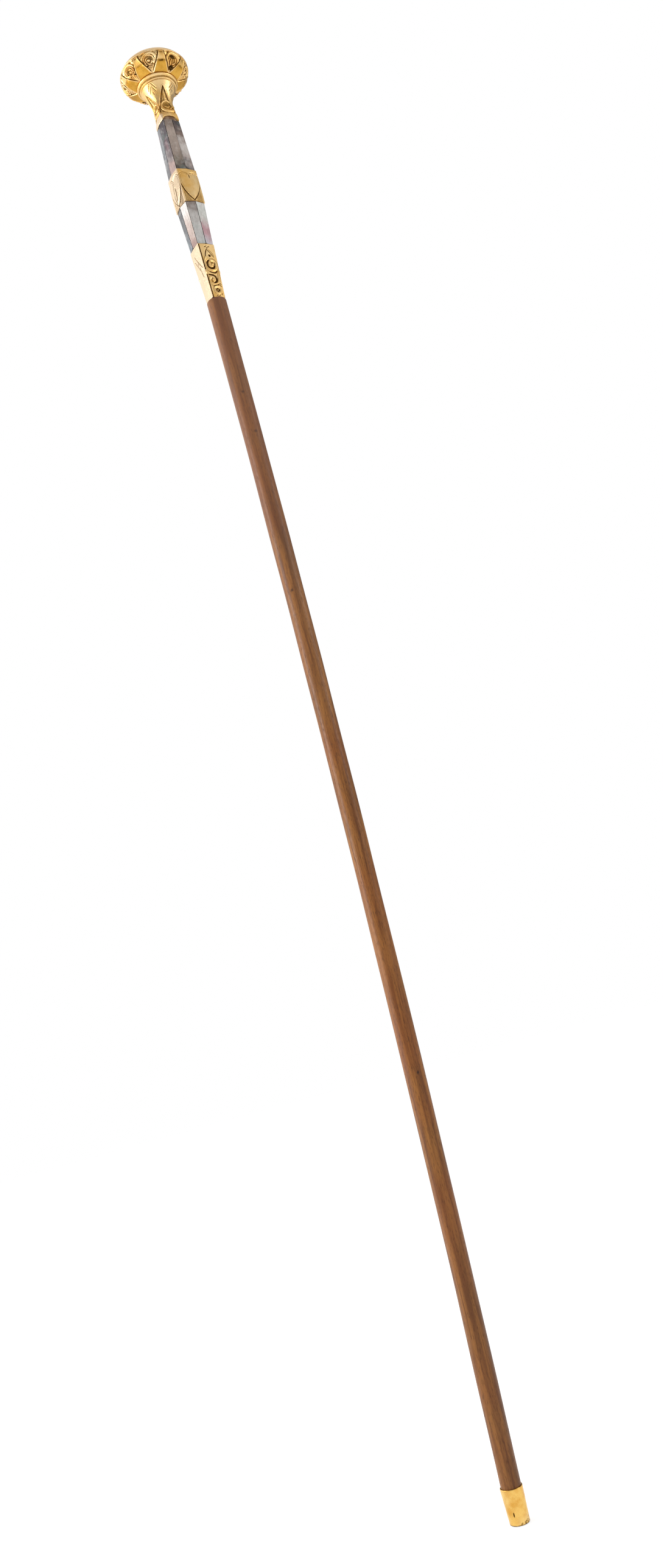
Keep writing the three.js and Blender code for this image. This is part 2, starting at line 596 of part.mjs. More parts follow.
function knobShell() {
  const rows = 14;
  const anglesAt = (share) => patterned(PETALS, knobPlaces(share)).map((angle) => angle + KNOB_TURN);
  const outside = Array.from({ length: rows + 1 }, (_, i) => {
    const share = i / rows;
    const tilt = lerp(KNOB_MOUTH_TILT, CROWN_TILT, share);
    const relief = (angle) => knobRelief(angle, share);
    return ring(anglesAt(share), (a) => knobRadius(tilt, relief(a)), (a) => knobLevel(tilt, relief(a)));
  });
  const inside = [1, 0.66, 0.33, 0].map((share) => {
    const tilt = lerp(KNOB_MOUTH_TILT, CROWN_TILT, share);
    const level = share === 0 ? RING_TOP : knobLevel(tilt, -KNOB_WALL * (1 - share));
    const radius = knobRadius(tilt, -KNOB_WALL) - KNOB_WALL * (1 - share);
    return ring(anglesAt(share), () => radius, () => level);
  });
  return tube([...outside, ...inside]);
}
add(handle, "knob_shell", knobShell(), gilt);

// The crown: a plain low dome with a rolled lip over the top of the petals.
const crownFoot = KNOB_LEVEL + CROWN_LEVEL + BUTT_GAP;
function crownProfile(grow, rows) {
  return Array.from({ length: rows + 1 }, (_, i) => {
    const tilt = lerp(CROWN_TILT, Math.PI / 2, i / rows);
    const level = Math.max(knobLevel(tilt, grow), crownFoot);
    return new THREE.Vector2(i === rows ? 0 : knobRadius(tilt, grow), level);
  });
}
function knobCrown() {
  const edge = knobRadius(CROWN_TILT);
  const lip = [
    new THREE.Vector2(edge + CROWN_LIP, crownFoot + CROWN_LIP / 2),
    new THREE.Vector2(edge + CROWN_LIP, crownFoot + CROWN_LIP * 1.5),
    new THREE.Vector2(edge - CROWN_LIP / 2, crownFoot + CROWN_LIP * 2.2),
  ];
  const start = new THREE.Vector2(edge, crownFoot);
  const dome = crownProfile(0, 7).filter((p) => p.y > crownFoot + CROWN_LIP * 3);
  const inside = crownProfile(-CROWN_WALL, 4).reverse();
  const profile = [start, ...lip, ...dome, ...inside, start];
  return new THREE.LatheGeometry(profile, COLLAR_STEPS).rotateX(Math.PI / 2);
}
add(handle, "knob_crown", knobCrown(), gilt);

// The core of the grip: stepped lands under the collars and seats for the slips of pearl between them.
const run = (foot, top, from, to) => ({ foot, top, from, to });
const lowerPearl = run(SOCKET_TOP, BAND_FOOT, LOWER_PEARL_FOOT_CORNER, WAIST_PEARL_CORNER);
const upperPearl = run(BAND_TOP, RIM_FOOT, WAIST_PEARL_CORNER, UPPER_PEARL_TOP_CORNER);
const pearlShape = ({ from, to }, share) => section(lerp(from, to, share), RIDGE_SHARE);
function gripCore() {
  const land = (shape) => inset(shape, COLLAR_WALL + GLUE_GAP);
  const seat = (shape) => inset(shape, PEARL_THICKNESS + GLUE_GAP);
  const foot = TOP_TENON_LENGTH + BUTT_GAP;
  const waist = neckShape(waistShare);
  const waistLand = inset(waist, COLLAR_WALL + NECK_PANEL_SINK + GLUE_GAP);
  const neckLand = inset(neckShape(0), COLLAR_WALL + NECK_PANEL_SINK + GLUE_GAP);
  const waistLevel = NECK_FOOT + NECK_WAIST_LEVEL * 0.9;
  const stations = [
    [foot, land(socketShape(foot / SOCKET_LENGTH))],
    [SOCKET_TOP, land(socketShape(1))],
    [SOCKET_TOP, seat(pearlShape(lowerPearl, 0))],
    [BAND_FOOT, seat(pearlShape(lowerPearl, 1))],
    [BAND_FOOT, land(bandShape(0))],
    [BAND_TOP, land(bandShape(1))],
    [BAND_TOP, seat(pearlShape(upperPearl, 0))],
    [RIM_FOOT, seat(pearlShape(upperPearl, 1))],
  ];
  const turnedStations = [
    [RIM_FOOT, land(rimShape(0))],
    [NECK_FOOT - BUTT_GAP, land(rimShape(1))],
    [NECK_FOOT - BUTT_GAP, neckLand],
    [waistLevel, waistLand],
  ];
  const ringOf = ([level, shape]) => sectionRing(evenly(2 * FACES), shape, level);
  const rings = [...stations.map(ringOf), ...turnedStations.map(ringOf).map(turnedAtLevel)];
  const tenonTop = RING_FOOT + CORE_TENON_LENGTH;
  rings.push(turnedAtLevel(roundRing(2 * FACES, CORE_TENON_RADIUS, waistLevel)));
  rings.push(turnedAtLevel(roundRing(2 * FACES, CORE_TENON_RADIUS, tenonTop)));
  const bore = screwBore(foot - CUT_OVERRUN, TOP_TENON_LENGTH + SCREW_IN_GRIP + GLUE_GAP);
  return cut(solid(rings), bore);
}
add(handle, "grip_core", gripCore(), coreWood);

// The slips of pearl: two a side, mitred at the corners and ridges, with a dark seam left between them.
function pearlQuad(shape, quarter, isSecond) {
  const inner = inset(shape, PEARL_THICKNESS);
  const half = Math.PI / FACES;
  const between = ({ corner, ridge }) => {
    const cornerPoint = new THREE.Vector2(corner * Math.SQRT1_2, corner * Math.SQRT1_2);
    const ridgePoint = new THREE.Vector2(ridge, 0);
    const along = cornerPoint.clone().sub(ridgePoint).normalize();
    const cornerCut = PEARL_SEAM / 2 / Math.sin(half + sideTilt(shape));
    const ridgeCut = PEARL_SEAM / 2 / Math.cos(sideTilt(shape));
    return [ridgePoint.addScaledVector(along, ridgeCut), cornerPoint.addScaledVector(along, -cornerCut)];
  };
  const [outerRidge, outerCorner] = between(shape);
  const [innerRidge, innerCorner] = between(inner);
  const quad = [outerRidge, outerCorner, innerCorner, innerRidge];
  const placed = isSecond ? quad : quad.map((p) => new THREE.Vector2(p.x, -p.y)).reverse();
  return placed.map((p) => p.rotateAround(new THREE.Vector2(), quarter * 2 * half));
}
function pearlSlip(pearls, quarter, isSecond) {
  const rowAt = (share, level) =>
    pearlQuad(pearlShape(pearls, share), quarter, isSecond).map((p) => new THREE.Vector3(p.x, p.y, level));
  return solid([rowAt(0, pearls.foot + BUTT_GAP), rowAt(1, pearls.top - BUTT_GAP)]);
}
for (const [label, pearls] of [["lower", lowerPearl], ["upper", upperPearl]]) {
  for (let i = 0; i < 2 * FACES; i++) {
    const slip = pearlSlip(pearls, Math.floor(i / 2), i % 2 === 1);
    add(handle, `pearl_${label}_${i + 1}`, slip, pearl);
  }
}

// The core of the knob, turned to fill the shell and the crown, bored for the tenon of the grip.
function knobCore() {
  const rows = 10;
  const boreRadius = CORE_TENON_RADIUS + GLUE_GAP;
  const boreTop = RING_FOOT + CORE_TENON_LENGTH + BUTT_GAP;
  const grow = -(KNOB_WALL + PANEL_SINK + GLUE_GAP);
  const foot = RING_TOP + BUTT_GAP;
  const outside = Array.from({ length: rows + 1 }, (_, i) => {
    const tilt = lerp(KNOB_MOUTH_TILT * 0.8, Math.PI / 2, i / rows);
    return new THREE.Vector2(i === rows ? 0 : knobRadius(tilt, 2 * grow), knobLevel(tilt, grow));
  });
  const start = new THREE.Vector2(boreRadius, foot);
  const mouth = new THREE.Vector2(KNOB_MOUTH_RADIUS + 2 * grow, foot);
  const hole = [new THREE.Vector2(0, boreTop), new THREE.Vector2(boreRadius, boreTop)];
  const profile = [start, mouth, ...outside, ...hole, start];
  return new THREE.LatheGeometry(profile, SMALL_ROUND_STEPS).rotateX(Math.PI / 2);
}
add(handle, "knob_core", knobCore(), coreWood);

stick.add(handle);

export default stick;
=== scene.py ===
# %% [markdown]
# # A dress walking stick
#
# This stick is a slim, slightly bowed hardwood shaft in a brass ferrule. Its handle is a grip of sixteen
# slips of mother-of-pearl between chased gilt collars, with a round gilt knob of petals and scrolls on top.
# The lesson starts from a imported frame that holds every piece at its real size. Each piece that shows is
# then made again as a fine mesh in the same place, and gets a finish of its own.

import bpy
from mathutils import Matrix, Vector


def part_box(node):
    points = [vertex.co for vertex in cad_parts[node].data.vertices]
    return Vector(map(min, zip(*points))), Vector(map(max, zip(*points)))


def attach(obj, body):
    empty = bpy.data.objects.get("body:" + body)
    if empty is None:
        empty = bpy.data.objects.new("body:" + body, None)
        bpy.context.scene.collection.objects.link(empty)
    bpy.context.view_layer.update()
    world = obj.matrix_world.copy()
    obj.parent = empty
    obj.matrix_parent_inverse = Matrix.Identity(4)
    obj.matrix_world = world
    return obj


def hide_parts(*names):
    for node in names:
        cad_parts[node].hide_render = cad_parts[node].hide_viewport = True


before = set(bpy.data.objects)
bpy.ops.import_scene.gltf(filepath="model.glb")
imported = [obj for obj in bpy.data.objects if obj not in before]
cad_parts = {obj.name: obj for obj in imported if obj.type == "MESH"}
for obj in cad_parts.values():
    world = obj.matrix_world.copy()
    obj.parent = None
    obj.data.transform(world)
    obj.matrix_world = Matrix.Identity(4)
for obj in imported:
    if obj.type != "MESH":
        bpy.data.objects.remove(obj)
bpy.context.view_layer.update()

# %% [markdown]
# Blender works in metres, while a cane maker measures in millimetres. The lengths below are written in
# millimetres, and points are turned into metres once, when a mesh is made.

# %% Tools and units
from math import acos, cos, pi, radians, sin

import bmesh
import bpy
import numpy as np
from mathutils import Matrix, Vector

MM = 0.001
QUARTER = pi / 2
UP = Vector((0, 0, 1))
rng = np.random.default_rng(7)


def points_of(node):
    """The points of a frame node, in millimetres."""
    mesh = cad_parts[node].data
    flat = np.empty(len(mesh.vertices) * 3)
    mesh.vertices.foreach_get("co", flat)
    return flat.reshape(-1, 3) / MM


def placed(name, data):
    """A new object in the scene."""
    made = bpy.data.objects.new(name, data)
    bpy.context.scene.collection.objects.link(made)
    return made


print("Length of the shaft in mm:", round(float(np.ptp(points_of("shaft")[:, 2])), 1))

# %% [markdown]
# The picture was taken from low down and close by, so the knob is seen from below and the ferrule from
# above. A camera could be placed by eye, but here its place comes from matching the stick's own corners to
# the picture: the values are a distance, a height, four angles and the length of the lens.

# %% The camera
CAMERA_AZIMUTH = radians(-31.832)
CAMERA_DISTANCE = 0.7545
CAMERA_HEIGHT = 0.262677
CAMERA_PITCH = radians(10.7)
CAMERA_YAW = radians(-0.076)
CAMERA_ROLL = radians(-14.193)
CAMERA_LENS = 30.466

away = Vector((-sin(CAMERA_AZIMUTH), cos(CAMERA_AZIMUTH), 0))
stand = Matrix.Translation(UP * CAMERA_HEIGHT - away * CAMERA_DISTANCE)
aim = Matrix.Rotation(CAMERA_AZIMUTH, 4, "Z") @ Matrix.Rotation(QUARTER + CAMERA_PITCH, 4, "X")
turned_aside = Matrix.Rotation(-CAMERA_YAW, 4, "Y") @ Matrix.Rotation(CAMERA_ROLL, 4, "Z")
camera = placed("camera", bpy.data.cameras.new("camera"))
camera.matrix_world = stand @ aim @ turned_aside
camera.data.lens = CAMERA_LENS
camera.data.sensor_width = 36
camera.data.clip_start = 0.01
bpy.context.scene.camera = camera
bpy.context.scene.view_settings.view_transform = "Standard"
print("Camera at", [round(x, 3) for x in camera.matrix_world.translation])

# %% [markdown]
# The stick stands on a white floor in front of a white room. The floor has to look white without flooding
# the stick with light. What the camera and mirror-like surfaces see is therefore a glow over a pale surface
# that still takes the stick's shadow, while other light meets a plain pale floor.

# %% Floor and room
FLOOR_HALF = 6.0
FLOOR_GLOW = 0.74
FLOOR_PALE = (0.4, 0.4, 0.4, 1)
FLOOR_BOUNCE = (0.8, 0.8, 0.8, 1)


def nodes_of(tree):
    """Empties a node tree and gives a function that adds one node and returns its first output."""
    tree.nodes.clear()

    def node(kind, *inputs, **values):
        made = tree.nodes.new("ShaderNode" + kind)
        sockets = list(enumerate(inputs))
        for key, value in values.items():
            if hasattr(made, key):
                setattr(made, key, value)
            else:
                sockets.append((key.replace("_", " "), value))
        for socket, value in sockets:
            if isinstance(value, bpy.types.NodeSocket):
                tree.links.new(value, made.inputs[socket])
            elif value is not None:
                made.inputs[socket].default_value = value
        return made.outputs[0] if made.outputs else None

    return node


def seen_directly(node):
    """One where the camera, a reflection or glass looks at the surface, and zero for light that bounces."""
    path = node("LightPath").node.outputs
    either = node("Math", path["Is Camera Ray"], path["Is Glossy Ray"], operation="MAXIMUM")
    return node("Math", either, path["Is Transmission Ray"], operation="MAXIMUM")


corners = [(x * FLOOR_HALF, y * FLOOR_HALF, 0) for x, y in ((-1, -1), (1, -1), (1, 1), (-1, 1))]
floor_mesh = bpy.data.meshes.new("floor")
floor_mesh.from_pydata(corners, [], [(0, 1, 2, 3)])
floor_finish = bpy.data.materials.new("white_floor")
floor_finish.use_nodes = True
node = nodes_of(floor_finish.node_tree)
bright = node("AddShader", node("Emission", Strength=FLOOR_GLOW), node("BsdfDiffuse", FLOOR_PALE))
bounce = node("BsdfDiffuse", FLOOR_BOUNCE)
node("OutputMaterial", node("MixShader", seen_directly(node), bounce, bright))
floor_mesh.materials.append(floor_finish)
floor = placed("floor", floor_mesh)
print("Floor in m:", 2 * FLOOR_HALF)

# %% [markdown]
# Metal shows its surroundings. In a studio the backdrop is white, while the side where the camera stands
# and the far end of the room are darker, and this contrast is what makes gold look like gold. The room
# below is white all round except for two soft dark patches that only reflections see. The camera itself
# always sees white.

# %% Room light
ROOM_LIGHT = 0.72
ROOM_BRIGHT = 1.15
WHITE = (1, 1, 1, 1)
LIT_POINT = Vector((0, 0, 0.75))

room = bpy.data.worlds.new("room")
bpy.context.scene.world = room
room.use_nodes = True
node = nodes_of(room.node_tree)
looking = node("TexCoord")


def towards(azimuth, rise=0):
    """A direction of the room. Azimuth is in degrees from +X towards +Y."""
    return Vector((cos(radians(azimuth)), sin(radians(azimuth)), rise))


def darker_towards(azimuth, rise, start, end, shade):
    """A strength that falls from one to shade as the view turns towards a direction of the room."""
    way = towards(azimuth, rise).normalized()
    facing = node("VectorMath", looking, way, operation="DOT_PRODUCT").node.outputs["Value"]
    return node("MapRange", facing, start, end, 1.0, shade, interpolation_type="SMOOTHSTEP")


dark_front = darker_towards(-150, 0.15, -0.35, 0.85, 0.4)
dark_right = darker_towards(10, 0.1, 0.1, 0.9, 0.3)
strength = node("Math", dark_front, dark_right, operation="MULTIPLY")
strength = node("Math", strength, ROOM_BRIGHT, operation="MULTIPLY")
path = node("LightPath").node.outputs
for_light = node("Background", WHITE, ROOM_LIGHT)
mirrors = node("MixShader", path["Is Glossy Ray"], for_light, node("Background", WHITE, strength))
clear = node("Math", path["Is Camera Ray"], path["Is Transmission Ray"], operation="MAXIMUM")
node("OutputWorld", node("MixShader", clear, mirrors, node("Background", WHITE, 1.0)))


def softbox(name, azimuth, height, distance, size, power):
    """An area lamp at an angle round the stick, aimed at its grip."""
    lamp = placed(name, bpy.data.lights.new(name, "AREA"))
    lamp.location = towards(azimuth) * distance + UP * height
    lamp.rotation_euler = (LIT_POINT - lamp.location).to_track_quat("-Z", "Y").to_euler()
    lamp.data.shape = "RECTANGLE"
    lamp.data.size = size
    lamp.data.size_y = size * 1.6
    lamp.data.energy = power
    print(name, "at", [round(x, 2) for x in lamp.location])


softbox("key_softbox", 163, 0.75, 1.1, 0.5, 10)
softbox("fill_softbox", -47, 0.9, 1.4, 0.4, 3.7)
softbox("edge_softbox", 122, 1.35, 1.2, 0.6, 0.6)
softbox("low_softbox", 135, 0.15, 1.1, 0.5, 3)

# %% [markdown]
# The handle leans with the top of the bowed shaft. Its axis could be typed in, but it is safer to read it
# from the frame: the middles of two pieces that are the same on all sides of the axis lie on it.

# %% Find the handle's own axis
collar_points = points_of("socket_collar")
AXIS = points_of("knob_crown").mean(0) - collar_points.mean(0)
AXIS /= np.linalg.norm(AXIS)
collar_middle = collar_points.mean(0)
HANDLE_FOOT = collar_middle + AXIS * ((collar_points - collar_middle) @ AXIS).min()
HANDLE_TURN = np.array(UP.rotation_difference(Vector(AXIS)).to_matrix())


def in_handle(points):
    """Points of the frame as the handle sees them, with Z along the axis from the shaft's shoulder."""
    return (points - HANDLE_FOOT) @ HANDLE_TURN


def from_handle(points):
    """Points of the handle as the frame sees them."""
    return points @ HANDLE_TURN.T + HANDLE_FOOT


def measure(node):
    """The levels of a piece's foot and top along the handle, and its corner radius at both."""
    points = in_handle(points_of(node))
    level = points[:, 2]
    reach = np.hypot(points[:, 0], points[:, 1])
    foot, top = level.min(), level.max()
    near = 0.02
    return foot, top, reach[level < foot + near].max(), reach[level > top - near].max()


metal = ("socket_collar", "heart_band", "neck_rim", "neck_sleeve", "neck_ring", "knob_shell", "knob_crown")
for name in metal:
    print(name, [round(float(x), 2) for x in measure(name)])

# %% [markdown]
# Nearly every piece of this stick is a skin over a stack of rings: a tube if it has a bore, or a solid with
# two closed ends. Writing the rings as one array of rows and steps keeps the mesh even, and lets the
# carving below work on whole grids at once.

# %% From rings to a mesh
SOFT_EDGE = radians(50)


def skin(name, rings, is_tube, place=from_handle, **marks):
    """A closed mesh over rings of points in millimetres. Each mark is a number a point for the finish."""
    rows, steps, _ = rings.shape
    index = np.arange(rows * steps).reshape(rows, steps)
    below = index if is_tube else index[:-1]
    above = np.roll(index, -1, 0) if is_tube else index[1:]
    quads = np.stack([below, np.roll(below, -1, 1), np.roll(above, -1, 1), above], -1)
    faces = quads.reshape(-1, 4).tolist()
    if not is_tube:
        faces += [index[0][::-1].tolist(), index[-1].tolist()]
    mesh = bpy.data.meshes.new(name)
    mesh.from_pydata((place(rings.reshape(-1, 3)) * MM).tolist(), [], faces)
    for mark, values in marks.items():
        layer = mesh.attributes.new(mark, "FLOAT", "POINT")
        layer.data.foreach_set("value", values.astype(np.float32).ravel())
    mesh.shade_smooth()
    mesh.set_sharp_from_angle(angle=SOFT_EDGE)
    return placed(name, mesh)


def dress(piece, finish, slot, *nodes):
    """Gives a piece its finish, and lets it stand for the frame's nodes on the one body."""
    piece.data.materials.clear()
    piece.data.materials.append(finish)
    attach(piece, "root")
    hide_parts(*nodes)
    print(piece.name, "faces:", len(piece.data.polygons))
    return piece


def turned(steps):
    """Angles all the way round."""
    return np.arange(steps) * 2 * pi / steps


def polar(radius, angle, level):
    """Points at a radius, an angle and a level."""
    return np.stack(np.broadcast_arrays(radius * np.cos(angle), radius * np.sin(angle), level), -1)


def round_rings(profile, steps):
    """Rings for a turned piece, from a list of radius and level."""
    return np.stack([polar(r, turned(steps), z) for r, z in profile])


def smooth(x, low, high):
    """Zero below low, one above high, and an even slope between."""
    t = np.clip((x - low) / (high - low), 0, 1)
    return t * t * (3 - 2 * t)


def mix(a, b, share):
    return a + (b - a) * share


def window(x, low, full, fall, high):
    """Rises from low to full, stays at one, and falls from fall to high."""
    return smooth(x, low, full) * (1 - smooth(x, fall, high))


def hump(x, middle, half):
    """A rounded bump: one at its middle, zero from its half width on."""
    return np.clip(1 - ((x - middle) / half) ** 2, 0, 1)


def bell(x, middle, half):
    """A soft bump that never quite ends."""
    return np.exp(-(((x - middle) / half) ** 2))


print("Rings, steps and coordinates of a small cone:", round_rings([(2, 0), (1, 3)], 8).shape)

# %% [markdown]
# The collars are square with a low ridge up the middle of each side, which gives an octagon with two sorts
# of edge. One formula gives the radius at any angle, so the square neck can also grow round towards its
# top.

# %% The handle's section
def off_side(angle):
    """The angle from the middle of the nearest side."""
    return angle - np.round(angle / QUARTER) * QUARTER


def section(corner, ridge_share, angle, roundness=0.0):
    """The radius at an angle, for a square with this corner radius whose sides rise to a ridge."""
    ridge = corner * ridge_share
    half = corner * np.sqrt(0.5)
    tilt = np.arctan2(ridge - half, half)
    flat = ridge * np.cos(tilt) / np.cos(np.abs(off_side(angle)) - tilt)
    return mix(flat, corner, roundness)


print("Radius at a corner of 10 mm and at its ridge:", section(10, 0.8, np.array([pi / 4, 0])))

# %% [markdown]
# A chaser works with a few punches: a liner cuts a groove, a tracer leaves a rounded ridge, and a round
# punch makes a hollow or a bead. The same few tools are functions here. Each one takes a grid of places on
# the surface, across and up in millimetres, and gives a height at every place.

# %% The carver's tools
BLUR_PASSES = 40
SHELTER_GAIN = 3.2
DEEP = 0.2


def curve(points, steps=90):
    """An even, smooth line through a few points: a Catmull-Rom curve sampled at equal distances."""
    p = np.array(points, float)
    p = np.vstack([2 * p[0] - p[1], p, 2 * p[-1] - p[-2]])
    t = np.linspace(0, 1, 24, endpoint=False)[:, None]
    fine = []
    for a, b, c, d in zip(p, p[1:], p[2:], p[3:]):
        line = 2 * b + (c - a) * t + (2 * a - 5 * b + 4 * c - d) * t**2
        fine.append(0.5 * (line + (3 * b - a - 3 * c + d) * t**3))
    fine = np.vstack([*fine, p[-2]])
    run = np.concatenate([[0], np.cumsum(np.linalg.norm(np.diff(fine, axis=0), axis=1))])
    even = np.linspace(0, run[-1], steps)
    return np.stack([np.interp(even, run, fine[:, k]) for k in (0, 1)], -1)


def nearest(u, v, line):
    """The distance from each place to a line, and how far along the line the nearest point is."""
    gap = np.hypot(u[..., None] - line[:, 0], v[..., None] - line[:, 1])
    along = gap.argmin(-1)
    length = np.linalg.norm(np.diff(line, axis=0), axis=1).sum()
    return gap.min(-1), along / (len(line) - 1), length


def ridge(u, v, points, widths, rise):
    """A rounded ridge along a line. widths are the half widths at its start and end."""
    gap, share, _ = nearest(u, v, curve(points))
    width = mix(widths[0], widths[1], share)
    return rise * np.sqrt(np.clip(1 - (gap / width) ** 2, 0, 1)) ** 1.3


def highest(height, u, v, bands):
    """Lays ridges over a ground. Each has its points, its half widths at both ends and its rise."""
    for points, widths, rise in bands:
        height = np.maximum(height, ridge(u, v, points, widths, rise))
    return height


def groove(u, v, points, width, depth):
    """A soft groove along a line, as a height below zero."""
    gap, share, _ = nearest(u, v, curve(points))
    taper = 0.35 + 0.65 * np.sin(pi * np.clip(share * 0.96 + 0.02, 0, 1)) ** 0.5
    return -depth * np.clip(1 - (gap / (width * taper)) ** 2, 0, 1)


def cut(height, u, v, grooves):
    """Cuts grooves into a ground. Each has its points, its half width and its depth."""
    for points, width, depth in grooves:
        height = height + groove(u, v, points, width, depth)
    return height


def rope(u, v, points, widths, rise, pitch):
    """A ridge that is notched across at an even pitch, like a row of small leaves."""
    gap, share, length = nearest(u, v, curve(points))
    width = mix(widths[0], widths[1], share)
    notch = 0.45 + 0.55 * np.abs(np.sin(pi * (share * length / pitch + 0.6 * gap / width)))
    return rise * notch * np.sqrt(np.clip(1 - (gap / width) ** 2, 0, 1))


def punched(u, v, marks, size, depth):
    """A ground matted with a round punch: each mark leaves a small dent."""
    gap = np.full(u.shape, size)
    for across, up in marks:
        gap = np.minimum(gap, np.hypot(u - across, v - up))
    return -depth * (1 - (gap / size) ** 2)


def dome(u, v, centre, radii, rise):
    """A round or oval boss. A rise below zero makes a hollow."""
    reach = ((u - centre[0]) / radii[0]) ** 2 + ((v - centre[1]) / radii[1]) ** 2
    return rise * np.clip(1 - reach, 0, 1) ** 0.7


def blur(height, times):
    """Evens out a grid of heights, which wraps round across and ends at the edges."""
    for _ in range(times):
        up = np.vstack([height[:1], height[:-1]])
        down = np.vstack([height[1:], height[-1:]])
        height = (2 * height + np.roll(height, 1, 1) + np.roll(height, -1, 1) + up + down) / 6
    return height


def hollowness(height):
    """How sheltered each place is: one in deep places and below the surroundings, zero in the open."""
    sheltered = (blur(height, BLUR_PASSES) - height) * SHELTER_GAIN
    return np.clip(np.maximum(sheltered, 0) + np.maximum(-height - DEEP, 0), 0, 1)


spot = np.zeros(1)
stroke = [(-1, 0), (1, 0)]
print("Middle of a groove:", groove(spot, spot, stroke, 1, 0.4))
print("Middle of a ridge:", ridge(spot, spot, stroke, (1, 1), 0.4))

# %% [markdown]
# Gilt metal is rarely one colour. It is yellow and bright where hands and cloth rub it, browner where the
# gilding is thin, and almost black where dirt stays in the hollows of the work. The finish mixes these
# tones by three marks that the carving leaves on the mesh: hollow for dirt, which on the knob also holds
# painted shade in the petal creases; satin for matt faces, whose darker gold on the petals is partly
# painted shade; and pale for a painted highlight on the side of the collars that faces the lamps, and a
# paler tone on the crown. Noise of several sizes keeps it from looking painted.

# %% Gilt and brass
def tint(code):
    """A colour written as RRGGBB, as the shader wants it."""
    parts = [int(code[i : i + 2], 16) / 255 for i in (0, 2, 4)]
    return tuple(c / 12.92 if c <= 0.04045 else ((c + 0.055) / 1.055) ** 2.4 for c in parts) + (1.0,)


class Finish:
    """A material with a few helpers, so that each finish below reads as a short recipe."""

    def __init__(self, name, **values):
        self.material = bpy.data.materials.new(name)
        self.material.use_nodes = True
        self.node = nodes_of(self.material.node_tree)
        surface = self.node("BsdfPrincipled", **values)
        self.node("OutputMaterial", surface)
        self.inputs = surface.node.inputs
        self.place = self.node("TexCoord").node.outputs["Object"]

    def moved(self, place=None, **how):
        """The place on the stick, shifted, turned or stretched."""
        return self.node("Mapping", place or self.place, **how)

    def level(self):
        """The height above the ground, in metres."""
        return self.node("SeparateXYZ", self.place).node.outputs["Z"]

    def noise(self, scale, detail=3.0, rough=0.55, place=None, distort=0.0):
        numbers = {"Scale": scale, "Detail": detail, "Roughness": rough, "Distortion": distort}
        return self.node("TexNoise", place or self.place, **numbers)

    def spread(self, value, low, high, to_low=0.0, to_high=1.0):
        return self.node("MapRange", value, low, high, to_low, to_high, interpolation_type="SMOOTHSTEP")

    def patches(self, scale, detail, low, high, most=1.0, **how):
        """Cloudy patches: zero where the noise is below low, and most where it is above high."""
        return self.spread(self.noise(scale, detail, **how), low, high, 0.0, most)

    def blend(self, share, first, second):
        """Mixes two colours, given as codes or as outputs, by a share."""
        pair = [tint(colour) if isinstance(colour, str) else colour for colour in (first, second)]
        return self.node("Mix", share, *[None] * 5, *pair, data_type="RGBA").node.outputs[2]

    def math(self, kind, first, second):
        return self.node("Math", first, second, operation=kind, use_clamp=True)

    def mark(self, name):
        """A number that the mesh carries at each point."""
        return self.node("Attribute", attribute_name=name).node.outputs["Fac"]

    def done(self, colour, rough, height, strength, distance):
        """Links the recipe's results to the surface and gives the material."""
        link = self.material.node_tree.links.new
        link(colour, self.inputs["Base Color"])
        link(self.node("Bump", Strength=strength, Distance=distance, Height=height), self.inputs["Normal"])
        if rough is not None:
            link(rough, self.inputs["Roughness"])
        return self.material


def gilt_finish(name, pale, rubbed_and_painted_highlight, bright, thin, dull, dirt, low_rough, high_rough):
    """bright and thin are the plain gold, dull the tone of shallow hollows, and dirt that of the deepest."""
    f = Finish(name, Metallic=1.0)
    fine = f.noise(900, 3.0)
    gold = f.blend(f.patches(170, 4.0, 0.38, 0.66), bright, thin)
    gold = f.blend(f.patches(60, 2.0, 0.45, 0.7, 0.45), gold, rubbed_and_painted_highlight)
    # The pale mark paints a highlight on the collars' lamp side and pales the crown.
    gold = f.blend(f.mark("pale"), gold, pale)
    # The satin mark gives matt faces a darker gold, which on the petals is partly painted shade.
    gold = f.blend(f.mark("satin_and_painted_shade"), gold, f.blend(f.patches(140, 3.0, 0.35, 0.7), *SATIN_GOLD_AND_PAINTED_SHADE))
    # The hollow mark is dirt, and on the knob it also holds the painted shade of the petal creases.
    stain = f.math("MULTIPLY", f.mark("hollow"), f.spread(fine, 0.25, 0.75, 0.75, 1.35))
    gold = f.blend(f.spread(stain, 0.05, 0.45, 0.0, 0.8), gold, dull)
    gold = f.blend(f.spread(stain, 0.4, 0.95, 0.0, 0.95), gold, dirt)
    worn = f.math("ADD", f.math("MULTIPLY", stain, 0.35), f.math("MULTIPLY", f.mark("satin_and_painted_shade"), 0.1))
    rough = f.math("ADD", f.spread(fine, 0.3, 0.7, low_rough, high_rough), worn)
    return f.done(gold, rough, f.noise(2600, 4.0), 0.12, 0.0002)


# Matt golds for the petals, darker as partly painted shade.
SATIN_GOLD_AND_PAINTED_SHADE = ("dcab4c", "bb8930")
GILT_TONES = ("e6d0b3", "f4dfb2", "ecc482", "e2b264", "8f6826", "42280e")
BRASS_TONES = ("f5dfa8", "f5dca0", "eabf6a", "d9a34c", "94702f", "4a2f10")
gilt = gilt_finish("chased_gilt", *GILT_TONES, 0.32, 0.44)
brass = gilt_finish("ferrule_brass", *BRASS_TONES, 0.22, 0.34)
print("Finishes:", gilt.name, brass.name)

# %% [markdown]
# The knob's underside is the hardest piece to make. Eight smooth petals rise from the ring, and between
# each two a sunk panel holds a scroll. Seen flat, a panel is a rounded triangle. The functions below build
# one scroll out of round bands, beads and pits, in millimetres across from the panel's middle and up from
# the ring.

